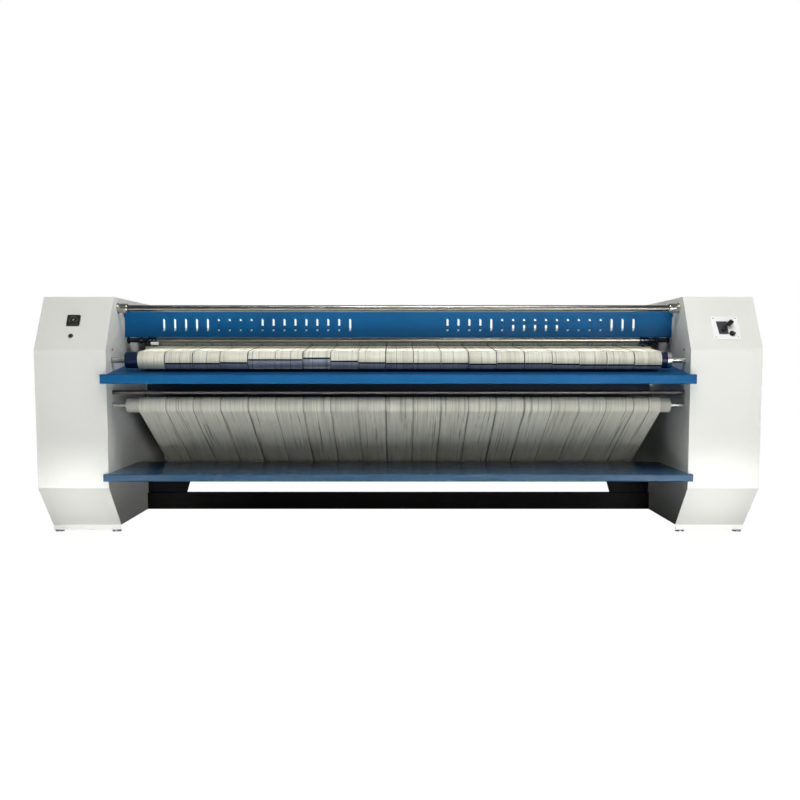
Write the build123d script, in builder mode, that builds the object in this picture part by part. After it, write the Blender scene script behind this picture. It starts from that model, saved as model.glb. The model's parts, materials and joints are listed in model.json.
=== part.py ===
from build123d import *
import os
from math import acos, asin, atan2, cos, hypot, pi, radians, sin, tan

# A flatwork ironer: a heated drum between two cabinets, fed over a belt conveyor at the front.
# Linen goes over the drum, comes back under it on the ironing belts and drops on the shelf.
# Millimetres. X runs across the machine, the operator stands at -Y, Z is up from the floor.
# Places in the side view are given as (depth, height): depth is behind the cabinets' front.

os.makedirs("parts", exist_ok=True)

# Belts across the machine, which set its width
BELT_COUNT = 19
BELT_PITCH = 149.0
BELT_GAP = 3.0
BELT_DRIFT = 8.0  # belts have run to the operator's right
ROLL_OVERHANG = 62.5  # roll past the last belt
WALL_ROOM = 80.0  # side frame past the roll's end

# Cabinets
CABINET_WIDTH = 382.0
CABINET_HEIGHT = 1307.0
REAR_ROOM = 130.0  # cabinets behind the drum
GLAND_OUT = 30.0  # mains gland behind the cabinets
UPPER_FOLD = 1017.0
LOWER_FOLD = 275.0
TOP_SETBACK = 176.0
PLINTH_SETBACK = 215.0
PLINTH_TOP = 40.0
COVER_FOOT = 12.0
LID_LIP = 35.0
SHEET = 2.0
BEND = 4.0  # inside a fold
SEAM = 0.3  # between two sheets that lie together
FRAME_PLATE = 8.0
FRAME_FOOT = 40.0

# Drum
DRUM_RADIUS = 300.0
DRUM_WALL = 8.0
DRUM_DEPTH = 820.0
DRUM_HEIGHT = 790.0
DRUM_END_PLATE = 12.0
DRUM_END_INSET = 24.0
JOURNAL_RADIUS = 50.0
JOURNAL_BORE = 34.0
JOURNAL_REACH = 142.0  # past the side frame's inner face
RUNNING_FIT = 0.05

# Rolls
FRONT_FEED_ROLL_RADIUS = 45.0
FRONT_FEED_ROLL_DEPTH = 111.0
FRONT_FEED_ROLL_HEIGHT = 962.0
REAR_FEED_ROLL_RADIUS = 38.0
REAR_FEED_ANGLE = 142.5  # round the drum, from straight back
REAR_FEED_GAP = 10.0
PRESS_ROLL_RADIUS = 40.0
PRESS_ANGLE = 120.0
NIP = 0.8
FRONT_ROLL_RADIUS = 40.0
FRONT_ROLL_HEIGHT = 718.0
LOWER_ROLL_RADIUS = 42.0
LOWER_ROLL_AHEAD = 140.0  # ahead of the drum's back
LOWER_ROLL_BELOW = 232.0  # below the drum
TENSION_ROLL_RADIUS = 40.0
TENSION_ROLL_BEHIND = 60.0  # behind the drum
TENSION_ROLL_ABOVE = 5.0  # above the drum
SHAFT_RADIUS = 14.0
FRONT_ROLL_SHAFT = 11.0
SHAFT_REACH = 40.0  # past the side frame's inner face
SHAFT_CLEAR = 4.0
ROLL_WALL = 4.0
ROLL_END_PLATE = 10.0
SHAFT_BORE = 4.0

# Belts
FEED_BELT = 3.0
IRONING_BELT = 4.0
BELT_CLEAR = 0.3

# Table, shelf and guard
TABLE_HEIGHT = 887.0
TABLE_RISE = 58.0  # from the cabinets' front to its rear edge
TABLE_REACH = 60.0  # in front of the cabinets
TABLE_TO_DRUM = 50.0
TABLE_LIP = 50.0
TABLE_WING = 17.0  # past the cabinets' inner edges
SHELF_HEIGHT = 355.0
SHELF_REACH = 50.0
SHELF_BACK = 607.0
SHELF_LIP = 39.0
SHELF_WING = 14.0
TABLE_SHEET = 3.0
GUARD_DEPTH = 358.0
GUARD_BOTTOM = 1092.0
GUARD_TOP = 1236.0
GUARD_END_GAP = 7.0
GUARD_FLANGE = 14.0
SLOT_COUNT = 18
SLOT_PITCH = 62.1
SLOT_WIDTH = 18.0
SLOT_LENGTH = 69.0
SLOT_MIDDLE_HEIGHT = 1161.0
SLOT_GROUP_X = 804.0
GUARD_PIN_RADIUS = 8.0
GUARD_PIN_HEIGHT = 1219.0
GUARD_PIN_AHEAD = 8.0  # in front of the guard's sheet
CAM_RADIUS = 22.0
RAIL_RADIUS = 17.5
RAIL_DEPTH = 246.0
RAIL_HEIGHT = 1248.5
RAIL_FLANGE_RADIUS = 30.5
BAR_RADIUS = 17.5
BAR_DEPTH = 439.0
BAR_OVER_BELTS = 23.0
BAR_END_GAP = 169.0
ROD_RADIUS = 11.0
ROD_HEIGHT = 787.0

# Drive
GEAR_MODULE = 6.0
DRUM_TEETH = 80
PINION_TEETH = 16
PRESSURE_ANGLE = 20.0
ADDENDUM = 0.85  # of the module
DEDENDUM = 1.25
BACKLASH = 0.5
GEAR_WIDTH = 40.0
GEAR_ROOM = 18.0  # past the drum's bearing
PINION_ANGLE = 233.0  # round the drum, from straight back
PINION_SHAFT = 14.0
FEED_PULLEY_RADIUS = 30.0
PULLEY_WIDTH = 26.0
V_BELT_WIDTH = 13.0
V_BELT_DEPTH = 8.0
V_BELT_FLANK = 72.0  # degrees between its flank and its back

# Foot of the machine
BEAM_DEPTH = 800.0
BEAM_WIDTH = 60.0
BEAM_TALL = 100.0
BEAM_WALL = 4.0
GUSSET_TOP = 235.0
GUSSET_LENGTH = 268.0
REAR_TIE_BOTTOM = 175.0
REAR_TIE_TALL = 60.0
BASE_RAIL = 50.0
FOOT_RADIUS = 25.0
FOOT_PAD = 12.0
FOOT_STEM = 8.0

# Controls
METER_SIZE = 72.0
METER_LIP = 3.0
METER_HEIGHT = 1175.0
METER_X = 197.0  # past the cabinet's inner edge
BUTTON_HEIGHT = 1090.0
BUTTON_RADIUS = 9.0
BUTTON_FIT = 0.06
BUTTON_THROAT = 11.0
BEZEL_RADIUS = 14.75
PLATE_SIZE = 145.0
PLATE_LIP = 12.5
CUTOUT_ROOM = 0.5
PLATE_HEIGHT = 1134.0
PLATE_X = 203.0

# What follows from the sizes above
belt_span = BELT_COUNT * BELT_PITCH
belt_width = BELT_PITCH - BELT_GAP
roll_half = belt_span / 2 + ROLL_OVERHANG
wall = roll_half + WALL_ROOM  # side frame's inner face
outside = wall + CABINET_WIDTH
plate_face = wall + FRAME_PLATE  # side frame's face inside the cabinet
cabinet_depth = DRUM_DEPTH + DRUM_RADIUS + REAR_ROOM
middle_depth = (cabinet_depth + GLAND_OUT - TABLE_REACH) / 2
HANDS = ((-1, "left"), (1, "right"))


def at(depth, height):
    """Point of the side view, in the machine's own frame."""
    return (depth - middle_depth, height)


def round_drum(angle, distance):
    """Place at a distance from the drum's axis, at an angle from straight back."""
    return (
        DRUM_DEPTH + distance * cos(radians(angle)),
        DRUM_HEIGHT + distance * sin(radians(angle)),
    )


def side_plane(x):
    """Side view's plane at x, with the way back as its x and up as its y."""
    return Plane.YZ.offset(x)


def axle_plane(place):
    """Upright plane through an axle, with its origin on the axle's middle."""
    y, z = at(*place)
    return Plane(origin=(0, y, z), x_dir=(1, 0, 0), z_dir=(0, -1, 0))


def axle(place):
    y, z = at(*place)
    return Axis((0, y, z), (1, 0, 0))


def save(builder, name):
    builder.part.label = name
    export_step(builder.part, f"parts/{name}.step")


def folded_sheet(corners, side, thickness=SHEET):
    """Face of a sheet folded along corners, its thickness to one side of the way they run."""
    with BuildLine() as outline:
        FilletPolyline(*corners, radius=BEND + thickness)
        offset(amount=thickness, side=side)
    make_face(outline.edges())


def wrap(circles):
    """Closed path of a belt round circles of (place, radius), in order.

    The path runs counter-clockwise round a positive radius and clockwise round a negative one.
    """
    count = len(circles)
    centres = [at(*place) for place, radius in circles]
    leaving = []
    for i in range(count):
        (y0, z0), (y1, z1) = centres[i], centres[(i + 1) % count]
        step = circles[(i + 1) % count][1] - circles[i][1]
        leaving.append(atan2(z1 - z0, y1 - y0) - asin(step / hypot(y1 - y0, z1 - z0)))

    def touch(i, heading):
        radius = circles[i][1]
        y, z = centres[i]
        return (y + radius * sin(heading), z - radius * cos(heading))

    for i in range(count):
        arriving, turn = leaving[i - 1], leaving[i] - leaving[i - 1]
        way = 1 if circles[i][1] > 0 else -1
        turn = way * ((way * turn) % (2 * pi))
        middle = touch(i, arriving + turn / 2)
        ThreePointArc(touch(i, arriving), middle, touch(i, leaving[i]))
        Line(touch(i, leaving[i]), touch((i + 1) % count, leaving[i]))


# Places of the rolls
drum_place = (DRUM_DEPTH, DRUM_HEIGHT)
front_feed_place = (FRONT_FEED_ROLL_DEPTH, FRONT_FEED_ROLL_HEIGHT)
rear_feed_reach = DRUM_RADIUS + REAR_FEED_ROLL_RADIUS + FEED_BELT + BELT_CLEAR + REAR_FEED_GAP
rear_feed_place = round_drum(REAR_FEED_ANGLE, rear_feed_reach)
press_reach = DRUM_RADIUS + PRESS_ROLL_RADIUS + IRONING_BELT + 2 * BELT_CLEAR + NIP
press_place = round_drum(PRESS_ANGLE, press_reach)
front_place = (FRONT_FEED_ROLL_DEPTH, FRONT_ROLL_HEIGHT)
lower_place = (
    DRUM_DEPTH + DRUM_RADIUS - LOWER_ROLL_AHEAD,
    DRUM_HEIGHT - DRUM_RADIUS - LOWER_ROLL_BELOW,
)
tension_place = (
    DRUM_DEPTH + DRUM_RADIUS + TENSION_ROLL_BEHIND,
    DRUM_HEIGHT + DRUM_RADIUS + TENSION_ROLL_ABOVE,
)
pinion_reach = GEAR_MODULE * (DRUM_TEETH + PINION_TEETH) / 2
pinion_place = round_drum(PINION_ANGLE, pinion_reach)
guard_pivot_place = (GUARD_DEPTH - GUARD_PIN_AHEAD, GUARD_PIN_HEIGHT)

# node name, place, tube radius, shaft radius, shaft's reach past the left and right side frames
ROLLS = (
    ("front_feed_roll", front_feed_place, FRONT_FEED_ROLL_RADIUS, SHAFT_RADIUS, 0),
    ("rear_feed_roll", rear_feed_place, REAR_FEED_ROLL_RADIUS, SHAFT_RADIUS, 1),
    ("press_roll", press_place, PRESS_ROLL_RADIUS, SHAFT_RADIUS, 0),
    ("lower_front_roll", front_place, FRONT_ROLL_RADIUS, FRONT_ROLL_SHAFT, 0),
    ("lower_rear_roll", lower_place, LOWER_ROLL_RADIUS, SHAFT_RADIUS, 0),
    ("tension_roll", tension_place, TENSION_ROLL_RADIUS, SHAFT_RADIUS, 0),
)

# The gear and the feed pulley stand on the journals, clear of the drum's bearings
DRUM_BEARING = 56.0
gear_start = plate_face + DRUM_BEARING + GEAR_ROOM
drum_pulley_radius = FEED_PULLEY_RADIUS * DRUM_RADIUS / (REAR_FEED_ROLL_RADIUS + FEED_BELT)

# The table ends ahead of the drum, and the press bar stands over the feed belts' upper run
table_back = DRUM_DEPTH - DRUM_RADIUS - TABLE_TO_DRUM
feed_belt_out = BELT_CLEAR + FEED_BELT
feed_way = (
    rear_feed_place[0] - FRONT_FEED_ROLL_DEPTH,
    rear_feed_place[1] - FRONT_FEED_ROLL_HEIGHT,
)
feed_narrowing = FRONT_FEED_ROLL_RADIUS - REAR_FEED_ROLL_RADIUS
feed_lean = atan2(feed_way[1], feed_way[0]) - asin(feed_narrowing / hypot(*feed_way))


def feed_top(depth):
    """Height of the feed belts' upper run at a depth."""
    out = FRONT_FEED_ROLL_RADIUS + feed_belt_out
    start = FRONT_FEED_ROLL_DEPTH - out * sin(feed_lean)
    return FRONT_FEED_ROLL_HEIGHT + out * cos(feed_lean) + (depth - start) * tan(feed_lean)


bar_place = (BAR_DEPTH, feed_top(BAR_DEPTH) + BAR_OVER_BELTS + BAR_RADIUS)

# Cabinets' outline in the side view, from the plinth round the front and top to the back
cabinet_corners = [
    at(PLINTH_SETBACK, COVER_FOOT),
    at(PLINTH_SETBACK, PLINTH_TOP),
    at(0, LOWER_FOLD),
    at(0, UPPER_FOLD),
    at(TOP_SETBACK, CABINET_HEIGHT),
    at(cabinet_depth, CABINET_HEIGHT),
    at(cabinet_depth, COVER_FOOT),
]
slope_rise = CABINET_HEIGHT - UPPER_FOLD
slope_length = hypot(TOP_SETBACK, slope_rise)
slope_way = (TOP_SETBACK / slope_length, slope_rise / slope_length)


def on_slope(height):
    """Point of the upper sloping face at a height, as (y, z)."""
    return at(TOP_SETBACK * (height - UPPER_FOLD) / slope_rise, height)


def slope_plane(x, height, lift=0.0):
    """Plane on the upper sloping face, facing the operator, with up the slope as its y."""
    y, z = on_slope(height)
    outward = (0, -slope_way[1], slope_way[0])
    return Plane(origin=(x, y, z), x_dir=(1, 0, 0), z_dir=outward).offset(lift)


def inside_covers():
    """Face that just fits inside the cabinets' folded covers."""
    with BuildLine() as outline:
        FilletPolyline(*cabinet_corners, radius=BEND + SHEET, close=True)
    make_face(outline.edges())
    offset(amount=-(SHEET + SEAM))


# Side frames: the inner walls that carry every roll
frame_holes = [(place, shaft + SHAFT_CLEAR) for _, place, _, shaft, _ in ROLLS]
frame_holes.append((drum_place, JOURNAL_RADIUS + SHAFT_CLEAR))
frame_holes.append((guard_pivot_place, GUARD_PIN_RADIUS + RUNNING_FIT))
for side, hand in HANDS:
    with BuildPart() as side_frame:
        with BuildSketch(side_plane(side * wall)):
            inside_covers()
            with Locations(at(middle_depth, 0)):
                Rectangle(2 * cabinet_depth, 2 * FRAME_FOOT, mode=Mode.SUBTRACT)
            for place, radius in frame_holes:
                with Locations(at(*place)):
                    Circle(radius, mode=Mode.SUBTRACT)
        extrude(amount=side * FRAME_PLATE)
    save(side_frame, f"{hand}_side_frame")

# Folded covers of the cabinets
lid_edge = on_slope(CABINET_HEIGHT - LID_LIP * slope_way[1])
cover_edge = on_slope(CABINET_HEIGHT - (LID_LIP + SEAM) * slope_way[1])
meter_hole = METER_SIZE - 2 * METER_LIP + 2 * CUTOUT_ROOM
plate_hole = PLATE_SIZE - 2 * PLATE_LIP
for side, hand in HANDS:
    with BuildPart() as front_cover:
        with BuildSketch(side_plane(side * wall)):
            folded_sheet(cabinet_corners[:4] + [cover_edge], Side.RIGHT)
        extrude(amount=side * CABINET_WIDTH)
        if side < 0:
            with BuildSketch(slope_plane(side * (wall + METER_X), METER_HEIGHT)):
                Rectangle(meter_hole, meter_hole)
            extrude(amount=2 * SHEET, both=True, mode=Mode.SUBTRACT)
            with BuildSketch(slope_plane(side * (wall + METER_X), BUTTON_HEIGHT)):
                Circle(BUTTON_THROAT + SEAM)
            extrude(amount=2 * SHEET, both=True, mode=Mode.SUBTRACT)
        else:
            with BuildSketch(slope_plane(side * (wall + PLATE_X), PLATE_HEIGHT)):
                Rectangle(plate_hole, plate_hole)
            extrude(amount=2 * SHEET, both=True, mode=Mode.SUBTRACT)
    save(front_cover, f"{hand}_front_cover")

with BuildPart() as top_covers:
    for side, hand in HANDS:
        with BuildSketch(side_plane(side * wall)):
            rear_lip = at(cabinet_depth, CABINET_HEIGHT - LID_LIP)
            folded_sheet([lid_edge, *cabinet_corners[4:6], rear_lip], Side.RIGHT)
        extrude(amount=side * CABINET_WIDTH)
save(top_covers, "top_covers")

with BuildPart() as side_covers:
    for side, hand in HANDS:
        with BuildSketch(side_plane(side * (outside - SHEET))):
            inside_covers()
        extrude(amount=side * SHEET)
save(side_covers, "side_covers")


def cross_plane(depth):
    """Upright plane across the machine at a depth, seen by the operator."""
    return Plane.XZ.offset(middle_depth - depth)


# Rear covers with louvres
LOUVRE_COUNT = 10
LOUVRE_PITCH = 30.0
LOUVRE_LENGTH = 180.0
LOUVRE_WIDTH = 9.0
LOUVRE_HEIGHT = 380.0
GLAND_BORE = 12.5
GLAND_HEIGHT = 160.0
GLAND_X = 120.0  # past the cabinet's inner edge
rear_top = CABINET_HEIGHT - LID_LIP - SEAM
with BuildPart() as rear_covers:
    with BuildSketch(cross_plane(cabinet_depth)):
        for side, hand in HANDS:
            cover_x = side * (wall + CABINET_WIDTH / 2)
            with Locations((cover_x, (rear_top + COVER_FOOT) / 2)):
                Rectangle(CABINET_WIDTH, rear_top - COVER_FOOT)
            with Locations((cover_x, LOUVRE_HEIGHT)):
                with GridLocations(0, LOUVRE_PITCH, 1, LOUVRE_COUNT):
                    Rectangle(LOUVRE_LENGTH, LOUVRE_WIDTH, mode=Mode.SUBTRACT)
        with Locations((-(wall + GLAND_X), GLAND_HEIGHT)):
            Circle(GLAND_BORE, mode=Mode.SUBTRACT)
    extrude(amount=SHEET)
save(rear_covers, "rear_covers")

# Cable gland for the mains cable, in the left rear cover
GLAND_FLANGE = 18.0
GLAND_CABLE = 8.0
GLAND_IN = 14.0
with BuildPart() as cable_gland:
    with BuildSketch(Plane.YZ.offset(-(wall + GLAND_X))):
        rear = at(cabinet_depth, 0)[0]
        with Locations((rear + GLAND_OUT / 2, GLAND_HEIGHT + (GLAND_FLANGE + GLAND_CABLE) / 2)):
            Rectangle(GLAND_OUT, GLAND_FLANGE - GLAND_CABLE)
        throat = GLAND_BORE - SEAM
        with Locations((rear - GLAND_IN / 2, GLAND_HEIGHT + (throat + GLAND_CABLE) / 2)):
            Rectangle(GLAND_IN, throat - GLAND_CABLE)
    revolve(axis=Axis((-(wall + GLAND_X), rear, GLAND_HEIGHT), (0, 1, 0)))
save(cable_gland, "cable_gland")

# Base frames: a welded ring under each cabinet, on levelling feet
base_front = PLINTH_SETBACK + SHEET + SEAM
base_back = cabinet_depth - SHEET - SEAM
base_outside = outside - SHEET - SEAM
base_width = base_outside - plate_face
base_length = base_back - base_front
base_middle_x = (base_outside + plate_face) / 2
base_middle_y = at((base_front + base_back) / 2, 0)[0]
base_top = FRAME_FOOT + BASE_RAIL
with BuildPart() as base_frames:
    with BuildSketch(Plane.XY.offset(FRAME_FOOT)):
        with Locations((-base_middle_x, base_middle_y), (base_middle_x, base_middle_y)):
            Rectangle(base_width, base_length)
            Rectangle(base_width - 2 * BASE_RAIL, base_length - 2 * BASE_RAIL, mode=Mode.SUBTRACT)
    extrude(amount=BASE_RAIL)
save(base_frames, "base_frames")

with BuildPart() as foot:
    with BuildSketch():
        Circle(FOOT_RADIUS)
    extrude(amount=FOOT_PAD)
    chamfer(foot.faces().sort_by(Axis.Z)[-1].edges(), FOOT_PAD / 2)
    with BuildSketch(Plane.XY.offset(FOOT_PAD)):
        RegularPolygon(FOOT_STEM, 6)
    extrude(amount=FRAME_FOOT - FOOT_PAD)

with BuildPart() as levelling_feet:
    for side, hand in HANDS:
        with Locations((side * base_middle_x, base_middle_y, 0)):
            with GridLocations(base_width - BASE_RAIL, base_length - 2 * FOOT_RADIUS, 2, 2):
                add(foot.part)
save(levelling_feet, "levelling_feet")

# Beams that tie the two side frames; the front one has a gusset welded on at each end
GUSSET_PLATE = 6.0
GUSSET_LEAN = 28.0
beam_top = FRAME_FOOT + BEAM_TALL
with BuildPart() as base_beam:
    with BuildSketch(side_plane(-wall)):
        with Locations(at(BEAM_DEPTH + BEAM_WIDTH / 2, FRAME_FOOT + BEAM_TALL / 2)):
            Rectangle(BEAM_WIDTH, BEAM_TALL)
            Rectangle(BEAM_WIDTH - 2 * BEAM_WALL, BEAM_TALL - 2 * BEAM_WALL, mode=Mode.SUBTRACT)
    extrude(amount=2 * wall)
    for side, hand in HANDS:
        with BuildSketch(cross_plane(BEAM_DEPTH + BEAM_WIDTH / 2)):
            Polygon(
                (side * wall, beam_top),
                (side * (wall - GUSSET_LENGTH + GUSSET_LEAN), beam_top),
                (side * (wall - GUSSET_LENGTH), GUSSET_TOP),
                (side * wall, GUSSET_TOP),
                align=None,
            )
        extrude(amount=GUSSET_PLATE)
save(base_beam, "base_beam")

HOOD_INSET = 10.0  # ahead of the cabinets' back
HOOD_ROOM = 10.0
HOOD_AHEAD = 57.0  # ahead of the press roll
HOOD_LIP = 20.0
hood_back = cabinet_depth - HOOD_INSET
hood_front = press_place[0] - HOOD_AHEAD
belt_stand_off = BELT_CLEAR + IRONING_BELT
press_top = press_place[1] + PRESS_ROLL_RADIUS + belt_stand_off
tension_top = tension_place[1] + TENSION_ROLL_RADIUS + belt_stand_off
hood_top = max(press_top, tension_top) + HOOD_ROOM + SHEET
with BuildPart() as rear_tie_beam:
    with BuildSketch(side_plane(-wall)):
        tie_depth = hood_back - SHEET - BASE_RAIL / 2
        with Locations(at(tie_depth, REAR_TIE_BOTTOM + REAR_TIE_TALL / 2)):
            Rectangle(BASE_RAIL, REAR_TIE_TALL)
            inner_tall = REAR_TIE_TALL - 2 * BEAM_WALL
            Rectangle(BASE_RAIL - 2 * BEAM_WALL, inner_tall, mode=Mode.SUBTRACT)
    extrude(amount=2 * wall)
save(rear_tie_beam, "rear_tie_beam")

with BuildPart() as rear_hood:
    with BuildSketch(side_plane(-wall)):
        hood_corners = [
            at(hood_back, REAR_TIE_BOTTOM),
            at(hood_back, hood_top),
            at(hood_front, hood_top),
            at(hood_front, hood_top - HOOD_LIP),
        ]
        folded_sheet(hood_corners, Side.LEFT)
    extrude(amount=2 * wall)
save(rear_hood, "rear_hood")


# Feed table and receiving shelf: folded sheet with a wing past each cabinet's inner edge
TABLE_SIDE_GAP = 1.0
TABLE_RETURN = 22.0
TABLE_REAR_LIP = 30.0
BRACKET_LEG = 40.0
BRACKET_PLATE = 4.0
BRACKET_START = 20.0


def folded_shelf(height, reach, back, lip, rise):
    """Side outlines of a shelf with a turned-down lip: the whole of it, and its front alone."""
    front = [
        at(TABLE_RETURN - reach, height - lip),
        at(-reach, height - lip),
        at(-reach, height),
    ]
    if rise:
        whole = front + [at(0, height)]
    else:
        whole = list(front)
    whole += [at(back, height + rise), at(back, height + rise - TABLE_REAR_LIP)]
    return whole, front + [at(-TABLE_SIDE_GAP, height)]


for name, height, reach, back, lip, wing, rise in (
    ("feed_table", TABLE_HEIGHT, TABLE_REACH, table_back, TABLE_LIP, TABLE_WING, TABLE_RISE),
    ("receiving_shelf", SHELF_HEIGHT, SHELF_REACH, SHELF_BACK, SHELF_LIP, SHELF_WING, 0),
):
    whole, front = folded_shelf(height, reach, back, lip, rise)
    with BuildPart() as shelf:
        with BuildSketch(Plane.YZ):
            folded_sheet(whole, Side.RIGHT, TABLE_SHEET)
        extrude(amount=wall - TABLE_SIDE_GAP, both=True)
        with BuildSketch(Plane.YZ):
            folded_sheet(front, Side.RIGHT, TABLE_SHEET)
        extrude(amount=wall + wing, both=True)
    save(shelf, name)

with BuildPart() as shelf_brackets:
    for height, back, rise in ((TABLE_HEIGHT, table_back, TABLE_RISE), (SHELF_HEIGHT, SHELF_BACK, 0)):
        lean = atan2(rise, back)
        bracket_end = back - TABLE_SHEET - BEND - BRACKET_LEG * sin(lean)
        end_y, end_z = at(bracket_end, height + bracket_end * tan(lean))
        forward = (0, -cos(lean), -sin(lean))
        end_plane = Plane(origin=(0, end_y, end_z), x_dir=(1, 0, 0), z_dir=forward)
        for side, hand in HANDS:
            with BuildSketch(end_plane):
                Polygon(
                    (side * wall, -TABLE_SHEET),
                    (side * (wall - BRACKET_LEG), -TABLE_SHEET),
                    (side * (wall - BRACKET_LEG), -TABLE_SHEET - BRACKET_PLATE),
                    (side * (wall - BRACKET_PLATE), -TABLE_SHEET - BRACKET_PLATE),
                    (side * (wall - BRACKET_PLATE), -TABLE_SHEET - BRACKET_LEG),
                    (side * wall, -TABLE_SHEET - BRACKET_LEG),
                    align=None,
                )
            extrude(amount=(bracket_end - BRACKET_START) / cos(lean))
save(shelf_brackets, "shelf_brackets")

# Finger guard: a slotted sheet that swings on two pins and stops the machine
GUARD_SHEET = 3.0
EAR_HEIGHT = 34.0
PIN_REACH = 34.0
CAM_WIDTH = 12.0
CAM_START = 12.0
SWITCH_WIDTH = 30.0
SWITCH_DEPTH = 40.0
SWITCH_TALL = 56.0
PLUNGER_RADIUS = 4.0
PLUNGER_STROKE = 5.0
PLUNGER_GAP = 0.5
guard_half = wall - GUARD_END_GAP
with BuildPart() as finger_guard:
    with BuildSketch(Plane.YZ):
        guard_corners = [
            at(GUARD_DEPTH + GUARD_FLANGE, GUARD_BOTTOM),
            at(GUARD_DEPTH, GUARD_BOTTOM),
            at(GUARD_DEPTH, GUARD_TOP),
            at(GUARD_DEPTH + GUARD_FLANGE, GUARD_TOP),
        ]
        folded_sheet(guard_corners, Side.RIGHT, GUARD_SHEET)
    extrude(amount=guard_half, both=True)
    with BuildSketch(cross_plane(GUARD_DEPTH + GUARD_SHEET)):
        for side, hand in HANDS:
            with Locations((side * SLOT_GROUP_X, SLOT_MIDDLE_HEIGHT)):
                with GridLocations(SLOT_PITCH, 0, SLOT_COUNT, 1):
                    SlotOverall(SLOT_LENGTH, SLOT_WIDTH, rotation=90)
    extrude(amount=GUARD_SHEET, mode=Mode.SUBTRACT)
    for side, hand in HANDS:
        with BuildSketch(side_plane(side * guard_half)):
            ear_front = guard_pivot_place[0] - GUARD_PIN_RADIUS
            ear_back = GUARD_DEPTH + GUARD_FLANGE
            with Locations(at((ear_front + ear_back) / 2, GUARD_TOP - EAR_HEIGHT / 2)):
                Rectangle(ear_back - ear_front, EAR_HEIGHT)
        extrude(amount=-side * GUARD_SHEET)
save(finger_guard, "finger_guard")

with BuildPart() as guard_pivots:
    for side, hand in HANDS:
        with BuildSketch(side_plane(side * guard_half)):
            with Locations(at(*guard_pivot_place)):
                Circle(GUARD_PIN_RADIUS)
        extrude(amount=side * (GUARD_END_GAP + FRAME_PLATE + PIN_REACH))
        with BuildSketch(side_plane(side * (plate_face + CAM_START))):
            with Locations(at(*guard_pivot_place)):
                Circle(CAM_RADIUS)
            notch_depth = guard_pivot_place[0] - CAM_RADIUS
            with Locations(at(notch_depth, GUARD_PIN_HEIGHT - CAM_RADIUS)):
                Circle(CAM_RADIUS / 2, mode=Mode.SUBTRACT)
        extrude(amount=side * CAM_WIDTH)
save(guard_pivots, "guard_pivots")

with BuildPart() as guard_switches:
    cam_bottom = GUARD_PIN_HEIGHT - CAM_RADIUS
    switch_top = cam_bottom - PLUNGER_GAP - PLUNGER_STROKE
    for side, hand in HANDS:
        with BuildSketch(side_plane(side * plate_face)):
            with Locations(at(guard_pivot_place[0], switch_top - SWITCH_TALL / 2)):
                Rectangle(SWITCH_DEPTH, SWITCH_TALL)
        extrude(amount=side * SWITCH_WIDTH)
        with BuildSketch(Plane.XY.offset(switch_top)):
            plunger_x = side * (plate_face + CAM_START + CAM_WIDTH / 2)
            with Locations((plunger_x, at(*guard_pivot_place)[0])):
                Circle(PLUNGER_RADIUS)
        extrude(amount=PLUNGER_STROKE)
save(guard_switches, "guard_switches")

# Chrome rail over the guard, in a flange on each side frame
RAIL_WALL = 2.0
RAIL_FLANGE = 6.0
RAIL_SOCKET = 52.0
RAIL_SOCKET_RADIUS = 26.0
RAIL_SOCKET_ROUND = 7.0
rail_place = (RAIL_DEPTH, RAIL_HEIGHT)
with BuildPart() as guard_rail:
    with BuildSketch(side_plane(RAIL_FLANGE - wall)):
        with Locations(at(*rail_place)):
            Circle(RAIL_RADIUS)
            Circle(RAIL_RADIUS - RAIL_WALL, mode=Mode.SUBTRACT)
    extrude(amount=2 * (wall - RAIL_FLANGE))
save(guard_rail, "guard_rail")

with BuildPart() as rail_flanges:
    for side, hand in HANDS:
        with BuildSketch(side_plane(side * wall)):
            with Locations(at(*rail_place)):
                Circle(RAIL_FLANGE_RADIUS)
        extrude(amount=-side * RAIL_FLANGE)
        with BuildSketch(side_plane(side * (wall - RAIL_FLANGE))):
            with Locations(at(*rail_place)):
                Circle(RAIL_SOCKET_RADIUS)
        extrude(amount=-side * RAIL_SOCKET)
        with BuildSketch(side_plane(side * (wall - RAIL_FLANGE))):
            with Locations(at(*rail_place)):
                Circle(RAIL_RADIUS + SEAM)
        extrude(amount=-side * RAIL_SOCKET, mode=Mode.SUBTRACT)
    sockets = rail_flanges.edges().filter_by(GeomType.CIRCLE)
    sockets = sockets.filter_by(lambda edge: edge.radius == RAIL_SOCKET_RADIUS)
    fillet(sockets.filter_by(lambda edge: abs(edge.center().X) < wall - RAIL_SOCKET), RAIL_SOCKET_ROUND)
save(rail_flanges, "rail_flanges")

# Press bar under the guard: a polished tube in two clamps
BAR_WALL = 2.5
CLAMP_RADIUS = 23.0
CLAMP_LENGTH = 50.0
CLAMP_SOCKET = 45.0
CLAMP_STUB_RADIUS = 14.0
CLAMP_FOOT_RADIUS = 21.0
CLAMP_FOOT = 8.0
BALL_RADIUS = 21.0
BALL_FROM_WALL = 75.0
bar_half = wall - BAR_END_GAP
with BuildPart() as press_bar:
    with BuildSketch(side_plane(-(bar_half + CLAMP_SOCKET))):
        with Locations(at(*bar_place)):
            Circle(BAR_RADIUS)
            Circle(BAR_RADIUS - BAR_WALL, mode=Mode.SUBTRACT)
    extrude(amount=2 * (bar_half + CLAMP_SOCKET))
save(press_bar, "press_bar")

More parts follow.
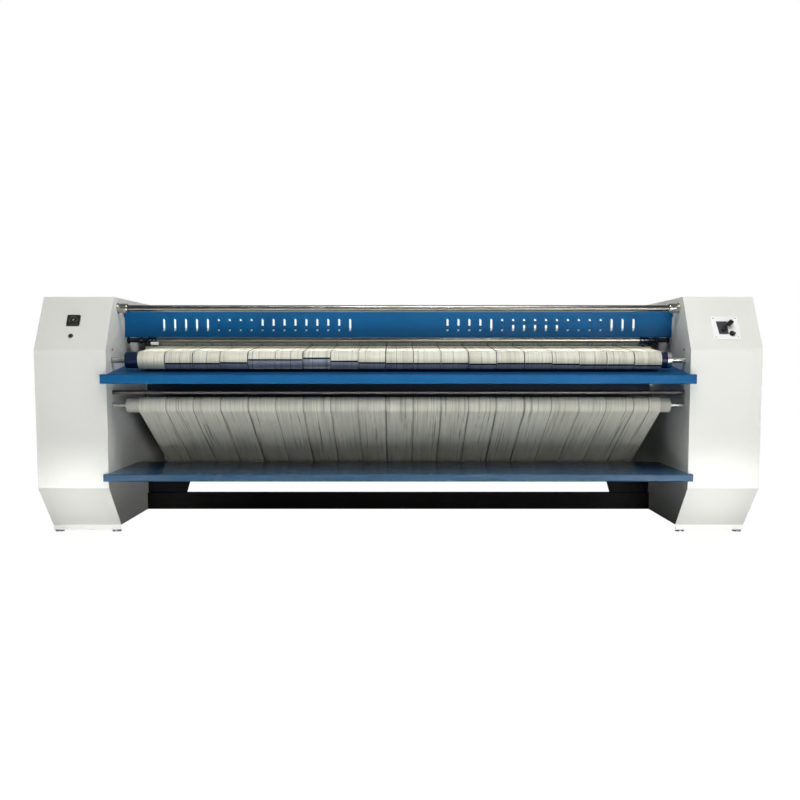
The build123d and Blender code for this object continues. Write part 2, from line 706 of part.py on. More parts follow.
with BuildPart() as press_bar_clamps:
    for side, hand in HANDS:
        with BuildSketch(axle_plane(bar_place)):
            clamp_end = bar_half + CLAMP_LENGTH
            Polygon(
                (side * bar_half, BAR_RADIUS + SEAM),
                (side * bar_half, CLAMP_RADIUS),
                (side * clamp_end, CLAMP_RADIUS),
                (side * (clamp_end + CLAMP_RADIUS - CLAMP_STUB_RADIUS), CLAMP_STUB_RADIUS),
                (side * (wall - CLAMP_FOOT), CLAMP_STUB_RADIUS),
                (side * (wall - CLAMP_FOOT), CLAMP_FOOT_RADIUS),
                (side * wall, CLAMP_FOOT_RADIUS),
                (side * wall, 0),
                (side * (bar_half + CLAMP_SOCKET), 0),
                (side * (bar_half + CLAMP_SOCKET), BAR_RADIUS + SEAM),
                align=None,
            )
            with Locations((side * (wall - BALL_FROM_WALL), 0)):
                Circle(BALL_RADIUS)
                under_axis = (Align.CENTER, Align.MAX)
                Rectangle(2 * BALL_RADIUS, BALL_RADIUS, align=under_axis, mode=Mode.SUBTRACT)
        revolve(axis=axle(bar_place))
save(press_bar_clamps, "press_bar_clamps")

# Thin guide rod between the side frames, over the lower front roll
with BuildPart() as guide_rod:
    with BuildSketch(side_plane(-wall)):
        with Locations(at(FRONT_FEED_ROLL_DEPTH, ROD_HEIGHT)):
            Circle(ROD_RADIUS)
    extrude(amount=2 * wall)
save(guide_rod, "guide_rod")

# Drum: shell, and two ends with hollow journals
DRUM_SHORT = 3.0  # shell inside the rolls' ends
WELD_GAP = 0.2
HUB_RADIUS = 80.0
HUB_LENGTH = 40.0
drum_half = roll_half - DRUM_SHORT
with BuildPart() as drum_shell:
    with BuildSketch(side_plane(-drum_half)):
        with Locations(at(*drum_place)):
            Circle(DRUM_RADIUS)
            Circle(DRUM_RADIUS - DRUM_WALL, mode=Mode.SUBTRACT)
    extrude(amount=2 * drum_half)
save(drum_shell, "drum_shell")

end_face = drum_half - DRUM_END_INSET
rim = DRUM_RADIUS - DRUM_WALL - WELD_GAP
with BuildPart() as drum_ends:
    for side, hand in HANDS:
        with BuildSketch(axle_plane(drum_place)):
            Polygon(
                (side * (end_face - HUB_LENGTH), JOURNAL_BORE),
                (side * (end_face - HUB_LENGTH), HUB_RADIUS),
                (side * (end_face - DRUM_END_PLATE), HUB_RADIUS),
                (side * (end_face - DRUM_END_PLATE), rim),
                (side * end_face, rim),
                (side * end_face, JOURNAL_RADIUS),
                (side * (wall + JOURNAL_REACH), JOURNAL_RADIUS),
                (side * (wall + JOURNAL_REACH), JOURNAL_BORE),
                align=None,
            )
        revolve(axis=axle(drum_place))
save(drum_ends, "drum_ends")

DRUM_FLANGE_SIZE = 210.0
DRUM_FLANGE = 20.0
DRUM_FLANGE_CORNER = 30.0
DRUM_HOUSING_RADIUS = 84.0
with BuildPart() as drum_bearings:
    for side, hand in HANDS:
        with BuildSketch(side_plane(side * plate_face)):
            with Locations(at(*drum_place)):
                RectangleRounded(DRUM_FLANGE_SIZE, DRUM_FLANGE_SIZE, DRUM_FLANGE_CORNER)
        extrude(amount=side * DRUM_FLANGE)
        with BuildSketch(side_plane(side * plate_face)):
            with Locations(at(*drum_place)):
                Circle(DRUM_HOUSING_RADIUS)
        extrude(amount=side * DRUM_BEARING)
        with BuildSketch(side_plane(side * plate_face)):
            with Locations(at(*drum_place)):
                Circle(JOURNAL_RADIUS + RUNNING_FIT)
        extrude(amount=side * DRUM_BEARING, mode=Mode.SUBTRACT)
save(drum_bearings, "drum_bearings")

# Rolls: tubes with welded ends and stub shafts, each in two flange bearings
ROLL_FLANGE_SIZE = 76.0
ROLL_FLANGE = 9.0
ROLL_HOUSING_RADIUS = 27.0
ROLL_BEARING = 24.0
SHAFT_PAST_PULLEY = 6.0
feed_shaft_end = gear_start + PULLEY_WIDTH + SHAFT_PAST_PULLEY
for name, place, radius, shaft, driven in ROLLS:
    left_end = -feed_shaft_end if driven else -(wall + SHAFT_REACH)
    right_end = wall + SHAFT_REACH
    with BuildPart() as roll:
        with BuildSketch(axle_plane(place)):
            Polygon(
                (left_end, SHAFT_BORE),
                (left_end, shaft),
                (-roll_half, shaft),
                (-roll_half, radius),
                (roll_half, radius),
                (roll_half, shaft),
                (right_end, shaft),
                (right_end, SHAFT_BORE),
                (roll_half - ROLL_END_PLATE, SHAFT_BORE),
                (roll_half - ROLL_END_PLATE, radius - ROLL_WALL),
                (ROLL_END_PLATE - roll_half, radius - ROLL_WALL),
                (ROLL_END_PLATE - roll_half, SHAFT_BORE),
                align=None,
            )
        revolve(axis=axle(place))
    save(roll, name)

with BuildPart() as roll_bearings:
    for side, hand in HANDS:
        for name, place, radius, shaft, driven in ROLLS:
            with BuildSketch(side_plane(side * plate_face)):
                with Locations(at(*place)):
                    Rectangle(ROLL_FLANGE_SIZE, ROLL_FLANGE_SIZE)
                    Circle(shaft + RUNNING_FIT, mode=Mode.SUBTRACT)
            extrude(amount=side * ROLL_FLANGE)
            with BuildSketch(side_plane(side * (plate_face + ROLL_FLANGE))):
                with Locations(at(*place)):
                    Circle(ROLL_HOUSING_RADIUS)
                    Circle(shaft + RUNNING_FIT, mode=Mode.SUBTRACT)
            extrude(amount=side * (ROLL_BEARING - ROLL_FLANGE))
save(roll_bearings, "roll_bearings")

# Belts: the feed belts round the two feed rolls, and the ironing belts round the drum and rolls
first_belt = BELT_DRIFT - BELT_PITCH * (BELT_COUNT - 1) / 2
belt_spots = [(first_belt + BELT_PITCH * i, 0, 0) for i in range(BELT_COUNT)]


def loop_circles(rolls, stand_off):
    """Circles that a belt's face runs on; the drum is outside the loop, so its radius is negative."""
    return [(place, sign * (radius + sign * stand_off)) for place, radius, sign in rolls]


feed_loop = [
    (rear_feed_place, REAR_FEED_ROLL_RADIUS, 1),
    (front_feed_place, FRONT_FEED_ROLL_RADIUS, 1),
]
ironing_loop = [
    (press_place, PRESS_ROLL_RADIUS, 1),
    (drum_place, DRUM_RADIUS + IRONING_BELT + 2 * BELT_CLEAR, -1),
    (front_place, FRONT_ROLL_RADIUS, 1),
    (lower_place, LOWER_ROLL_RADIUS, 1),
    (tension_place, TENSION_ROLL_RADIUS, 1),
]
for name, rolls, thickness in (
    ("feed_belts", feed_loop, FEED_BELT),
    ("ironing_belts", ironing_loop, IRONING_BELT),
):
    with BuildPart() as belt:
        with BuildSketch(Plane.YZ):
            with BuildLine():
                wrap(loop_circles(rolls, BELT_CLEAR + thickness))
            make_face()
            with BuildLine():
                wrap(loop_circles(rolls, BELT_CLEAR))
            make_face(mode=Mode.SUBTRACT)
        extrude(amount=belt_width / 2, both=True)
    with BuildPart() as belts:
        with Locations(*belt_spots):
            add(belt.part)
    save(belts, name)


# Drum drive: an open gear on the right journal, and a pinion on the gearbox's shaft
def involute(angle):
    return tan(angle) - angle


def tooth_half_angle(radius, teeth):
    """Half the angle that a tooth fills at a radius, less its share of the backlash."""
    pitch_radius = GEAR_MODULE * teeth / 2
    base_radius = pitch_radius * cos(radians(PRESSURE_ANGLE))
    rolled = involute(acos(min(1, base_radius / radius)))
    play = BACKLASH / (4 * pitch_radius)
    return pi / (2 * teeth) + involute(radians(PRESSURE_ANGLE)) - rolled - play


def gear_outline(place, teeth, first_tooth):
    """Corners of a gear whose first tooth points at an angle in degrees."""
    tip = GEAR_MODULE * (teeth / 2 + ADDENDUM)
    root = GEAR_MODULE * (teeth / 2 - DEDENDUM)
    y, z = at(*place)
    corners = []
    for i in range(teeth):
        middle = radians(first_tooth) + 2 * pi * i / teeth
        for radius, way in ((root, -1), (tip, -1), (tip, 1), (root, 1)):
            angle = middle + way * tooth_half_angle(radius, teeth)
            corners.append((y + radius * cos(angle), z + radius * sin(angle)))
    return corners


WHEEL_ARMS = 6
WINDOW_INNER = 90.0
WINDOW_OUTER = 190.0
ARM_HALF_ANGLE = 9.0


def arm_windows(place, mode):
    """Windows between a wheel's arms, each with straight sides."""
    y, z = at(*place)
    for i in range(WHEEL_ARMS):
        start, end = (radians(360 * (i + j) / WHEEL_ARMS) for j in (0, 1))
        corners = []
        for radius, angle, way in (
            (WINDOW_INNER, start, 2),
            (WINDOW_OUTER, start, 1),
            (WINDOW_OUTER, end, -1),
            (WINDOW_INNER, end, -2),
        ):
            angle += way * radians(ARM_HALF_ANGLE) / 2
            corners.append((y + radius * cos(angle), z + radius * sin(angle)))
        Polygon(*corners, align=None, mode=mode)


with BuildPart() as drum_gear:
    with BuildSketch(side_plane(gear_start)):
        Polygon(*gear_outline(drum_place, DRUM_TEETH, PINION_ANGLE), align=None)
        with Locations(at(*drum_place)):
            Circle(JOURNAL_RADIUS + WELD_GAP, mode=Mode.SUBTRACT)
        arm_windows(drum_place, Mode.SUBTRACT)
    extrude(amount=GEAR_WIDTH)
save(drum_gear, "drum_gear")

GEARBOX_SIZE = 150.0
GEARBOX_CORNER = 20.0
GEARBOX_BOSS = 44.0
BOSS_LENGTH = 6.0
GEARBOX_WIDTH = 110.0
GEARBOX_GAP = 10.0
PINION_SHAFT_SEAT = 60.0
SEAT_ROOM = 5.0
gearbox_start = gear_start + GEAR_WIDTH + GEARBOX_GAP
gearbox_middle_x = gearbox_start + GEARBOX_WIDTH / 2
with BuildPart() as drive_pinion:
    with BuildSketch(side_plane(gear_start)):
        first_tooth = PINION_ANGLE + 180 + 180 / PINION_TEETH
        Polygon(*gear_outline(pinion_place, PINION_TEETH, first_tooth), align=None)
    extrude(amount=GEAR_WIDTH)
    with BuildSketch(side_plane(gear_start - GEARBOX_GAP)):
        with Locations(at(*pinion_place)):
            Circle(PINION_SHAFT)
    extrude(amount=gearbox_start + PINION_SHAFT_SEAT - gear_start + GEARBOX_GAP)
save(drive_pinion, "drive_pinion")

with BuildPart() as gearbox:
    with BuildSketch(side_plane(gearbox_start)):
        with Locations(at(*pinion_place)):
            RectangleRounded(GEARBOX_SIZE, GEARBOX_SIZE, GEARBOX_CORNER)
    extrude(amount=GEARBOX_WIDTH)
    with BuildSketch(side_plane(gearbox_start)):
        with Locations(at(*pinion_place)):
            Circle(GEARBOX_BOSS)
    extrude(amount=-BOSS_LENGTH)
    with BuildSketch(side_plane(gearbox_start - BOSS_LENGTH)):
        with Locations(at(*pinion_place)):
            Circle(PINION_SHAFT + RUNNING_FIT)
    extrude(amount=BOSS_LENGTH + PINION_SHAFT_SEAT + SEAT_ROOM, mode=Mode.SUBTRACT)
save(gearbox, "gearbox")

MOTOR_RADIUS = 62.0
MOTOR_LENGTH = 210.0
MOTOR_FLANGE_RADIUS = 72.0
MOTOR_FLANGE = 14.0
MOTOR_FINS = 20
FIN_HEIGHT = 9.0
FIN_WIDTH = 4.0
FAN_COVER = 42.0
TERMINAL_BOX = (70.0, 80.0)
TERMINAL_TOP = 104.0
with BuildPart() as drive_motor:
    motor_start = pinion_place[0] - GEARBOX_SIZE / 2
    motor_plane = cross_plane(motor_start)
    spot = (gearbox_middle_x, pinion_place[1])
    with BuildSketch(motor_plane):
        with Locations(spot):
            Circle(MOTOR_FLANGE_RADIUS)
    extrude(amount=MOTOR_FLANGE)
    with BuildSketch(motor_plane):
        with Locations(spot):
            Circle(MOTOR_RADIUS)
            with PolarLocations(MOTOR_RADIUS, MOTOR_FINS):
                Rectangle(2 * FIN_HEIGHT, FIN_WIDTH)
    extrude(amount=MOTOR_LENGTH)
    with BuildSketch(motor_plane.offset(MOTOR_LENGTH)):
        with Locations(spot):
            Circle(MOTOR_FLANGE_RADIUS)
    extrude(amount=FAN_COVER)
    with BuildSketch(Plane.XY.offset(pinion_place[1])):
        box_y = at(motor_start - MOTOR_LENGTH / 2, 0)[0]
        with Locations((gearbox_middle_x, box_y)):
            Rectangle(*TERMINAL_BOX)
    extrude(amount=TERMINAL_TOP)
save(drive_motor, "drive_motor")

STAND_PLATE = 10.0
STAND_CHEEK = 120.0
with BuildPart() as motor_stand:
    stand_top = pinion_place[1] - GEARBOX_SIZE / 2
    stand_y = at(pinion_place[0], 0)[0]
    with BuildSketch(Plane.XY.offset(base_top)):
        with Locations((base_middle_x, stand_y)):
            Rectangle(base_width, GEARBOX_SIZE)
    extrude(amount=STAND_PLATE)
    with BuildSketch(Plane.XY.offset(base_top)):
        with Locations((gearbox_middle_x, stand_y)):
            with GridLocations(GEARBOX_WIDTH - 2 * STAND_PLATE, 0, 2, 1):
                Rectangle(STAND_PLATE, STAND_CHEEK)
    extrude(amount=stand_top - base_top)
    with BuildSketch(Plane.XY.offset(stand_top)):
        with Locations((gearbox_middle_x, stand_y)):
            Rectangle(GEARBOX_WIDTH, GEARBOX_SIZE)
    extrude(amount=-STAND_PLATE)
save(motor_stand, "motor_stand")

# Feed drive: a V-belt from the drum's left journal to the rear feed roll
GROOVE_ROOM = 3.0
pulley_middle = gear_start + PULLEY_WIDTH / 2
for name, place, pitch, bore in (
    ("feed_drive_pulley", drum_place, drum_pulley_radius, JOURNAL_RADIUS + WELD_GAP),
    ("feed_roll_pulley", rear_feed_place, FEED_PULLEY_RADIUS, SHAFT_RADIUS + WELD_GAP),
):
    with BuildPart() as pulley:
        with BuildSketch(axle_plane(place)):
            rim = pitch + V_BELT_DEPTH / 2
            floor = pitch - V_BELT_DEPTH / 2 - GROOVE_ROOM
            groove_top = V_BELT_WIDTH / 2 + BELT_CLEAR
            groove_floor = groove_top - (rim - floor) / tan(radians(V_BELT_FLANK))
            Polygon(
                (-gear_start - PULLEY_WIDTH, bore),
                (-gear_start - PULLEY_WIDTH, rim),
                (-pulley_middle - groove_top, rim),
                (-pulley_middle - groove_floor, floor),
                (-pulley_middle + groove_floor, floor),
                (-pulley_middle + groove_top, rim),
                (-gear_start, rim),
                (-gear_start, bore),
                align=None,
            )
        revolve(axis=axle(place))
        if name == "feed_drive_pulley":
            with BuildSketch(side_plane(-gear_start)):
                arm_windows(drum_place, Mode.ADD)
            extrude(amount=-PULLEY_WIDTH, mode=Mode.SUBTRACT)
    save(pulley, name)

with BuildPart() as feed_drive_belt:
    with BuildLine(side_plane(-pulley_middle)) as belt_path:
        wrap([(drum_place, drum_pulley_radius), (rear_feed_place, FEED_PULLEY_RADIUS)])
    path = belt_path.line
    with BuildSketch(Plane(origin=path @ 0, x_dir=(1, 0, 0), z_dir=path % 0)):
        Trapezoid(V_BELT_WIDTH, V_BELT_DEPTH, V_BELT_FLANK, rotation=180)
    sweep()
save(feed_drive_belt, "feed_drive_belt")

# Heating: electric elements on a fixed tube that passes through the journals
CARRIER_RADIUS = 25.0
CARRIER_WALL = 4.0
CARRIER_REACH = 200.0
SPIDER_PLATE = 6.0
SPIDER_RADIUS = 222.0
SPIDER_REACH = 1200.0
ELEMENT_COUNT = 6
ELEMENT_CIRCLE = 200.0
ELEMENT_RADIUS = 8.0
ELEMENT_REACH = 1330.0
BRACKET_WIDTH = 60.0
BRACKET_THICK = 10.0
BRACKET_RISE = 285.0
BRACKET_DROP = 45.0
with BuildPart() as heater_carrier:
    with BuildSketch(side_plane(-(wall + CARRIER_REACH))):
        with Locations(at(*drum_place)):
            Circle(CARRIER_RADIUS)
    extrude(amount=2 * (wall + CARRIER_REACH))
    for x in (-SPIDER_REACH, 0, SPIDER_REACH):
        with BuildSketch(side_plane(x)):
            with Locations(at(*drum_place)):
                Circle(SPIDER_RADIUS)
                with PolarLocations(ELEMENT_CIRCLE, ELEMENT_COUNT):
                    Circle(ELEMENT_RADIUS + SEAM, mode=Mode.SUBTRACT)
        extrude(amount=SPIDER_PLATE)
    with BuildSketch(side_plane(-(wall + CARRIER_REACH))):
        with Locations(at(*drum_place)):
            Circle(CARRIER_RADIUS - CARRIER_WALL)
    extrude(amount=2 * (wall + CARRIER_REACH), mode=Mode.SUBTRACT)
save(heater_carrier, "heater_carrier")

with BuildPart() as heating_elements:
    with BuildSketch(side_plane(-ELEMENT_REACH)):
        with Locations(at(*drum_place)):
            with PolarLocations(ELEMENT_CIRCLE, ELEMENT_COUNT):
                Circle(ELEMENT_RADIUS)
    extrude(amount=2 * ELEMENT_REACH)
save(heating_elements, "heating_elements")

with BuildPart() as carrier_brackets:
    for side, hand in HANDS:
        with BuildSketch(cross_plane(DRUM_DEPTH + BRACKET_WIDTH / 2)):
            far = wall + CARRIER_REACH - BRACKET_THICK
            near = far - BRACKET_THICK
            top = DRUM_HEIGHT + BRACKET_RISE
            Polygon(
                (side * plate_face, top),
                (side * plate_face, top - BRACKET_THICK),
                (side * near, top - BRACKET_THICK),
                (side * near, DRUM_HEIGHT - BRACKET_DROP),
                (side * far, DRUM_HEIGHT - BRACKET_DROP),
                (side * far, top),
                align=None,
            )
        extrude(amount=BRACKET_WIDTH)
        with BuildSketch(side_plane(side * near)):
            with Locations(at(*drum_place)):
                Circle(CARRIER_RADIUS + SEAM)
        extrude(amount=side * BRACKET_THICK, mode=Mode.SUBTRACT)
save(carrier_brackets, "carrier_brackets")

# Temperature probe that rides close to the drum's bare end
PROBE_ANGLE = 60.0
PROBE_WIDTH = 16.0
PROBE_SHOE = 24.0
PROBE_TALL = 18.0
PROBE_ARM = 6.0
PROBE_X = drum_half - 22.0
with BuildPart() as drum_probe:
    probe_y, probe_z = at(*round_drum(PROBE_ANGLE, DRUM_RADIUS + 2 * BELT_CLEAR))
    lean = radians(PROBE_ANGLE)
    probe_plane = Plane(
        origin=(-PROBE_X, probe_y, probe_z),
        x_dir=(1, 0, 0),
        z_dir=(0, cos(lean), sin(lean)),
    )
    with BuildSketch(probe_plane):
        Rectangle(PROBE_WIDTH, PROBE_SHOE)
    extrude(amount=PROBE_TALL)
    with BuildSketch(probe_plane.offset(PROBE_TALL)):
        arm = wall - PROBE_X + PROBE_WIDTH / 2
        with Locations((PROBE_WIDTH / 2 - arm / 2, 0)):
            Rectangle(arm, PROBE_WIDTH)
    extrude(amount=PROBE_ARM)
save(drum_probe, "drum_probe")

# Controls on the left cabinet's slope
METER_BEZEL = 5.0
METER_CORNER = 8.0
METER_DRAFT = 20.0
METER_DEPTH = 70.0
meter_body = METER_SIZE - 2 * METER_LIP
meter_x = -(wall + METER_X)
with BuildPart() as temperature_meter:
    with BuildSketch(slope_plane(meter_x, METER_HEIGHT)):
        RectangleRounded(METER_SIZE, METER_SIZE, METER_CORNER)
    extrude(amount=METER_BEZEL, taper=METER_DRAFT)
    with BuildSketch(slope_plane(meter_x, METER_HEIGHT)):
        Rectangle(meter_body, meter_body)
    extrude(amount=-METER_DEPTH)
save(temperature_meter, "temperature_meter")

BEZEL_HEIGHT = 4.0
BEZEL_DRAFT = 15.0
THROAT_LENGTH = 32.0
BUTTON_LENGTH = 26.0
BUTTON_TRAVEL = 3.0
PRESSED_PROUD = 1.0  # what still stands out of the bezel when it is pressed
with BuildPart() as button_bezel:
    with BuildSketch(slope_plane(meter_x, BUTTON_HEIGHT)):
        Circle(BEZEL_RADIUS)
    extrude(amount=BEZEL_HEIGHT, taper=BEZEL_DRAFT)
    with BuildSketch(slope_plane(meter_x, BUTTON_HEIGHT)):
        Circle(BUTTON_THROAT)
    extrude(amount=-THROAT_LENGTH)
    with BuildSketch(slope_plane(meter_x, BUTTON_HEIGHT, BEZEL_HEIGHT)):
        Circle(BUTTON_RADIUS + BUTTON_FIT)
    extrude(amount=-(BEZEL_HEIGHT + THROAT_LENGTH), mode=Mode.SUBTRACT)
save(button_bezel, "button_bezel")

with BuildPart() as push_button:
    button_top = BEZEL_HEIGHT + BUTTON_TRAVEL + PRESSED_PROUD
    with BuildSketch(slope_plane(meter_x, BUTTON_HEIGHT, button_top)):
        Circle(BUTTON_RADIUS)
    extrude(amount=-BUTTON_LENGTH)
save(push_button, "push_button")

CONTACT_SIZE = 30.0
CONTACT_DEPTH = 26.0
with BuildPart() as button_contacts:
    with BuildSketch(slope_plane(meter_x, BUTTON_HEIGHT, -THROAT_LENGTH)):
        Rectangle(CONTACT_SIZE, CONTACT_SIZE)
    extrude(amount=-CONTACT_DEPTH)
save(button_contacts, "button_contacts")

# Controls on the right cabinet's slope
PLATE_THICK = 3.0
ESCUTCHEON_THICK = 3.0
HANDLE_HUB = (-16.0, -14.0)
HANDLE_HUB_RADIUS = 13.0
HANDLE_LENGTH = 49.0
HANDLE_ANGLE = 41.0
HANDLE_ARM = 8.0
HANDLE_GRIP = (36.0, 24.0)
HANDLE_LIFT = 10.0
HANDLE_THICK = 14.0
HANDLE_SHAFT = 5.0
HANDLE_SHAFT_REACH = 30.0
SHAFT_END_ROOM = 5.0
GRIP_CORNER = 4.0
PLATE_CORNER = 6.0
ESCUTCHEON = ((-48, 39), (10, 39), (10, -40), (-40, -40))
KNOB_SPOT = (29.0, -38.0)
KNOB_RADIUS = 16.0
KNOB_HEIGHT = 12.0
KNOB_SHAFT = 3.0
KNOB_SHAFT_REACH = 20.0
KNOB_GRIP = (36.0, 8.0)
plate_x = wall + PLATE_X
with BuildPart() as control_plate:
    with BuildSketch(slope_plane(plate_x, PLATE_HEIGHT)):
        RectangleRounded(PLATE_SIZE, PLATE_SIZE, PLATE_CORNER)
        with Locations(HANDLE_HUB):
            Circle(HANDLE_SHAFT + RUNNING_FIT, mode=Mode.SUBTRACT)
        with Locations(KNOB_SPOT):
            Circle(KNOB_SHAFT + RUNNING_FIT, mode=Mode.SUBTRACT)
    extrude(amount=PLATE_THICK)
save(control_plate, "control_plate")

with BuildPart() as isolator_escutcheon:
    with BuildSketch(slope_plane(plate_x, PLATE_HEIGHT, PLATE_THICK)):
        Polygon(*ESCUTCHEON, align=None)
        with Locations(HANDLE_HUB):
            Circle(HANDLE_SHAFT + SEAM, mode=Mode.SUBTRACT)
    extrude(amount=ESCUTCHEON_THICK)
save(isolator_escutcheon, "isolator_escutcheon")

ISOLATOR_BODY = (70.0, 80.0)
ISOLATOR_DEPTH = 60.0
with BuildPart() as isolator_switch:
    with BuildSketch(slope_plane(plate_x, PLATE_HEIGHT)):
        with Locations(HANDLE_HUB):
            Rectangle(*ISOLATOR_BODY)
    extrude(amount=-ISOLATOR_DEPTH)
    with BuildSketch(slope_plane(plate_x, PLATE_HEIGHT)):
        with Locations(HANDLE_HUB):
            Circle(HANDLE_SHAFT + RUNNING_FIT)
    extrude(amount=-HANDLE_SHAFT_REACH, mode=Mode.SUBTRACT)
save(isolator_switch, "isolator_switch")

with BuildPart() as isolator_handle:
    seat = PLATE_THICK + ESCUTCHEON_THICK + SEAM
    with BuildSketch(slope_plane(plate_x, PLATE_HEIGHT, seat)):
        with Locations(HANDLE_HUB):
            Circle(HANDLE_HUB_RADIUS)
    extrude(amount=HANDLE_LIFT)
    with BuildSketch(slope_plane(plate_x, PLATE_HEIGHT, seat + HANDLE_LIFT)):
        with Locations(Location((*HANDLE_HUB, 0), HANDLE_ANGLE)):
            with Locations((HANDLE_LENGTH / 2, 0)):
                Rectangle(HANDLE_LENGTH, HANDLE_ARM)
            with Locations((HANDLE_LENGTH, 0)):
                RectangleRounded(*HANDLE_GRIP, GRIP_CORNER)
            Circle(HANDLE_HUB_RADIUS)
    extrude(amount=HANDLE_THICK)
    with BuildSketch(slope_plane(plate_x, PLATE_HEIGHT, seat)):
        with Locations(HANDLE_HUB):
            Circle(HANDLE_SHAFT)
    extrude(amount=-(seat + HANDLE_SHAFT_REACH - SHAFT_END_ROOM))
save(isolator_handle, "isolator_handle")

with BuildPart() as selector_knob:
    with BuildSketch(slope_plane(plate_x, PLATE_HEIGHT, PLATE_THICK + SEAM)):
        with Locations(KNOB_SPOT):
            Circle(KNOB_RADIUS)
    extrude(amount=KNOB_HEIGHT / 2)
    with BuildSketch(slope_plane(plate_x, PLATE_HEIGHT, PLATE_THICK + SEAM)):
        with Locations(KNOB_SPOT):
            Rectangle(*KNOB_GRIP)
    extrude(amount=KNOB_HEIGHT)
    with BuildSketch(slope_plane(plate_x, PLATE_HEIGHT, PLATE_THICK + SEAM)):
        with Locations(KNOB_SPOT):
            Circle(KNOB_SHAFT)
    extrude(amount=-KNOB_SHAFT_REACH)
save(selector_knob, "selector_knob")

# Switchgear in the left cabinet, on a plate that stands on the base frame
PANEL_DEPTH = 250.0
PANEL_LENGTH = 420.0
PANEL_TOP = 800.0
PANEL_PLATE = 4.0
GEAR_BOX = (70.0, 85.0)
GEAR_BOX_PITCH = (100.0, 150.0)
GEAR_BOX_DEEP = 68.0
GEAR_BOX_RISE = 40.0  # over the plate's middle
panel_x = base_outside - BASE_RAIL
panel_middle = (PANEL_TOP + base_top) / 2
with BuildPart() as switchgear:
    with BuildSketch(side_plane(-panel_x)):
        with Locations(at(PANEL_DEPTH + PANEL_LENGTH / 2, panel_middle)):
            Rectangle(PANEL_LENGTH, PANEL_TOP - base_top)
    extrude(amount=-PANEL_PLATE)
    with BuildSketch(side_plane(-panel_x)):
        with Locations(at(PANEL_DEPTH + PANEL_LENGTH / 2, panel_middle + GEAR_BOX_RISE)):
            with GridLocations(*GEAR_BOX_PITCH, 4, 3):
                Rectangle(*GEAR_BOX)
    extrude(amount=GEAR_BOX_DEEP)
save(switchgear, "switchgear")
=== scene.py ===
import json
import random
from math import asin, atan2, ceil, cos, hypot, pi, radians, sin

import bmesh
import bpy
from mathutils import Matrix, Vector


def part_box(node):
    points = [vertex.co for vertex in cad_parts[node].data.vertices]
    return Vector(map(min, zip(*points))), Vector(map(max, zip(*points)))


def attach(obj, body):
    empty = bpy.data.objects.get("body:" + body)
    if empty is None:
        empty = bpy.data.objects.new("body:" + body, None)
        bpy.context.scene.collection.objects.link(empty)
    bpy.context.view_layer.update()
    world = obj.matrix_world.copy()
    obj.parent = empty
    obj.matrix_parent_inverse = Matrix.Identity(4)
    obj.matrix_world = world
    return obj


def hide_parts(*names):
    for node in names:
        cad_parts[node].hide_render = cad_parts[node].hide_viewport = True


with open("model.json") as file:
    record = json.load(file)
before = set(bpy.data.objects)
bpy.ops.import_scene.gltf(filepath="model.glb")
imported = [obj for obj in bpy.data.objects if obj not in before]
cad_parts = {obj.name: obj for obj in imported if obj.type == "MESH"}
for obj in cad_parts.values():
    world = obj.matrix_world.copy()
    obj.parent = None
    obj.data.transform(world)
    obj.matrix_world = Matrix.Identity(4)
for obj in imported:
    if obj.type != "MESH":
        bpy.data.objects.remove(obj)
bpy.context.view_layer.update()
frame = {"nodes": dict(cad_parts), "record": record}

# A flatwork ironer. Metres: X across the machine, the operator at -Y, Z up from the floor.

draw = random.Random(19)

# The photograph's frame and camera
IMAGE = 800
FOCAL_PIXELS = 972.9
SENSOR = 36.0
EYE_AHEAD = 5.2  # in front of the cabinets
EYE_HEIGHT = 0.957
EYE_PITCH = radians(4.93)
PIXELS_RIGHT = 1.7  # the lens's shift
PIXELS_UP = 45.0
CLIP_END = 60.0

# The machine's own sizes that its boxes don't give
UPPER_FOLD = 1.017  # where the front starts to slope back
SLOPE_TOP = 1.307
SLOPE_BACK = 0.176
BELTS = 19
BELT_WIDTH = 0.146
FEED_BELT = 0.003
IRONING_BELT = 0.004
BELT_CLEAR = 0.0003
ROLL_HALF = 1.478  # half a roll's length, without its shafts

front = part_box("left_front_cover")[0].y
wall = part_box("right_front_cover")[0].x
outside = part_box("right_front_cover")[1].x


def middle(node):
    """Middle of a node's box."""
    low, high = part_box(node)
    return Vector(((low.x + high.x) / 2, (low.y + high.y) / 2, (low.z + high.z) / 2))


def camera():
    """The photograph's camera, square on to the front."""
    data = bpy.data.cameras.new("camera")
    data.sensor_width = SENSOR
    data.lens = SENSOR * FOCAL_PIXELS / IMAGE
    data.shift_x = PIXELS_RIGHT / IMAGE
    data.shift_y = PIXELS_UP / IMAGE
    data.clip_end = CLIP_END
    eye = bpy.data.objects.new("camera", data)
    eye.location = (0, front - EYE_AHEAD, EYE_HEIGHT)
    eye.rotation_euler = (pi / 2 - EYE_PITCH, 0, 0)
    bpy.context.scene.collection.objects.link(eye)
    bpy.context.scene.camera = eye


# ---------------------------------------------------------------- materials


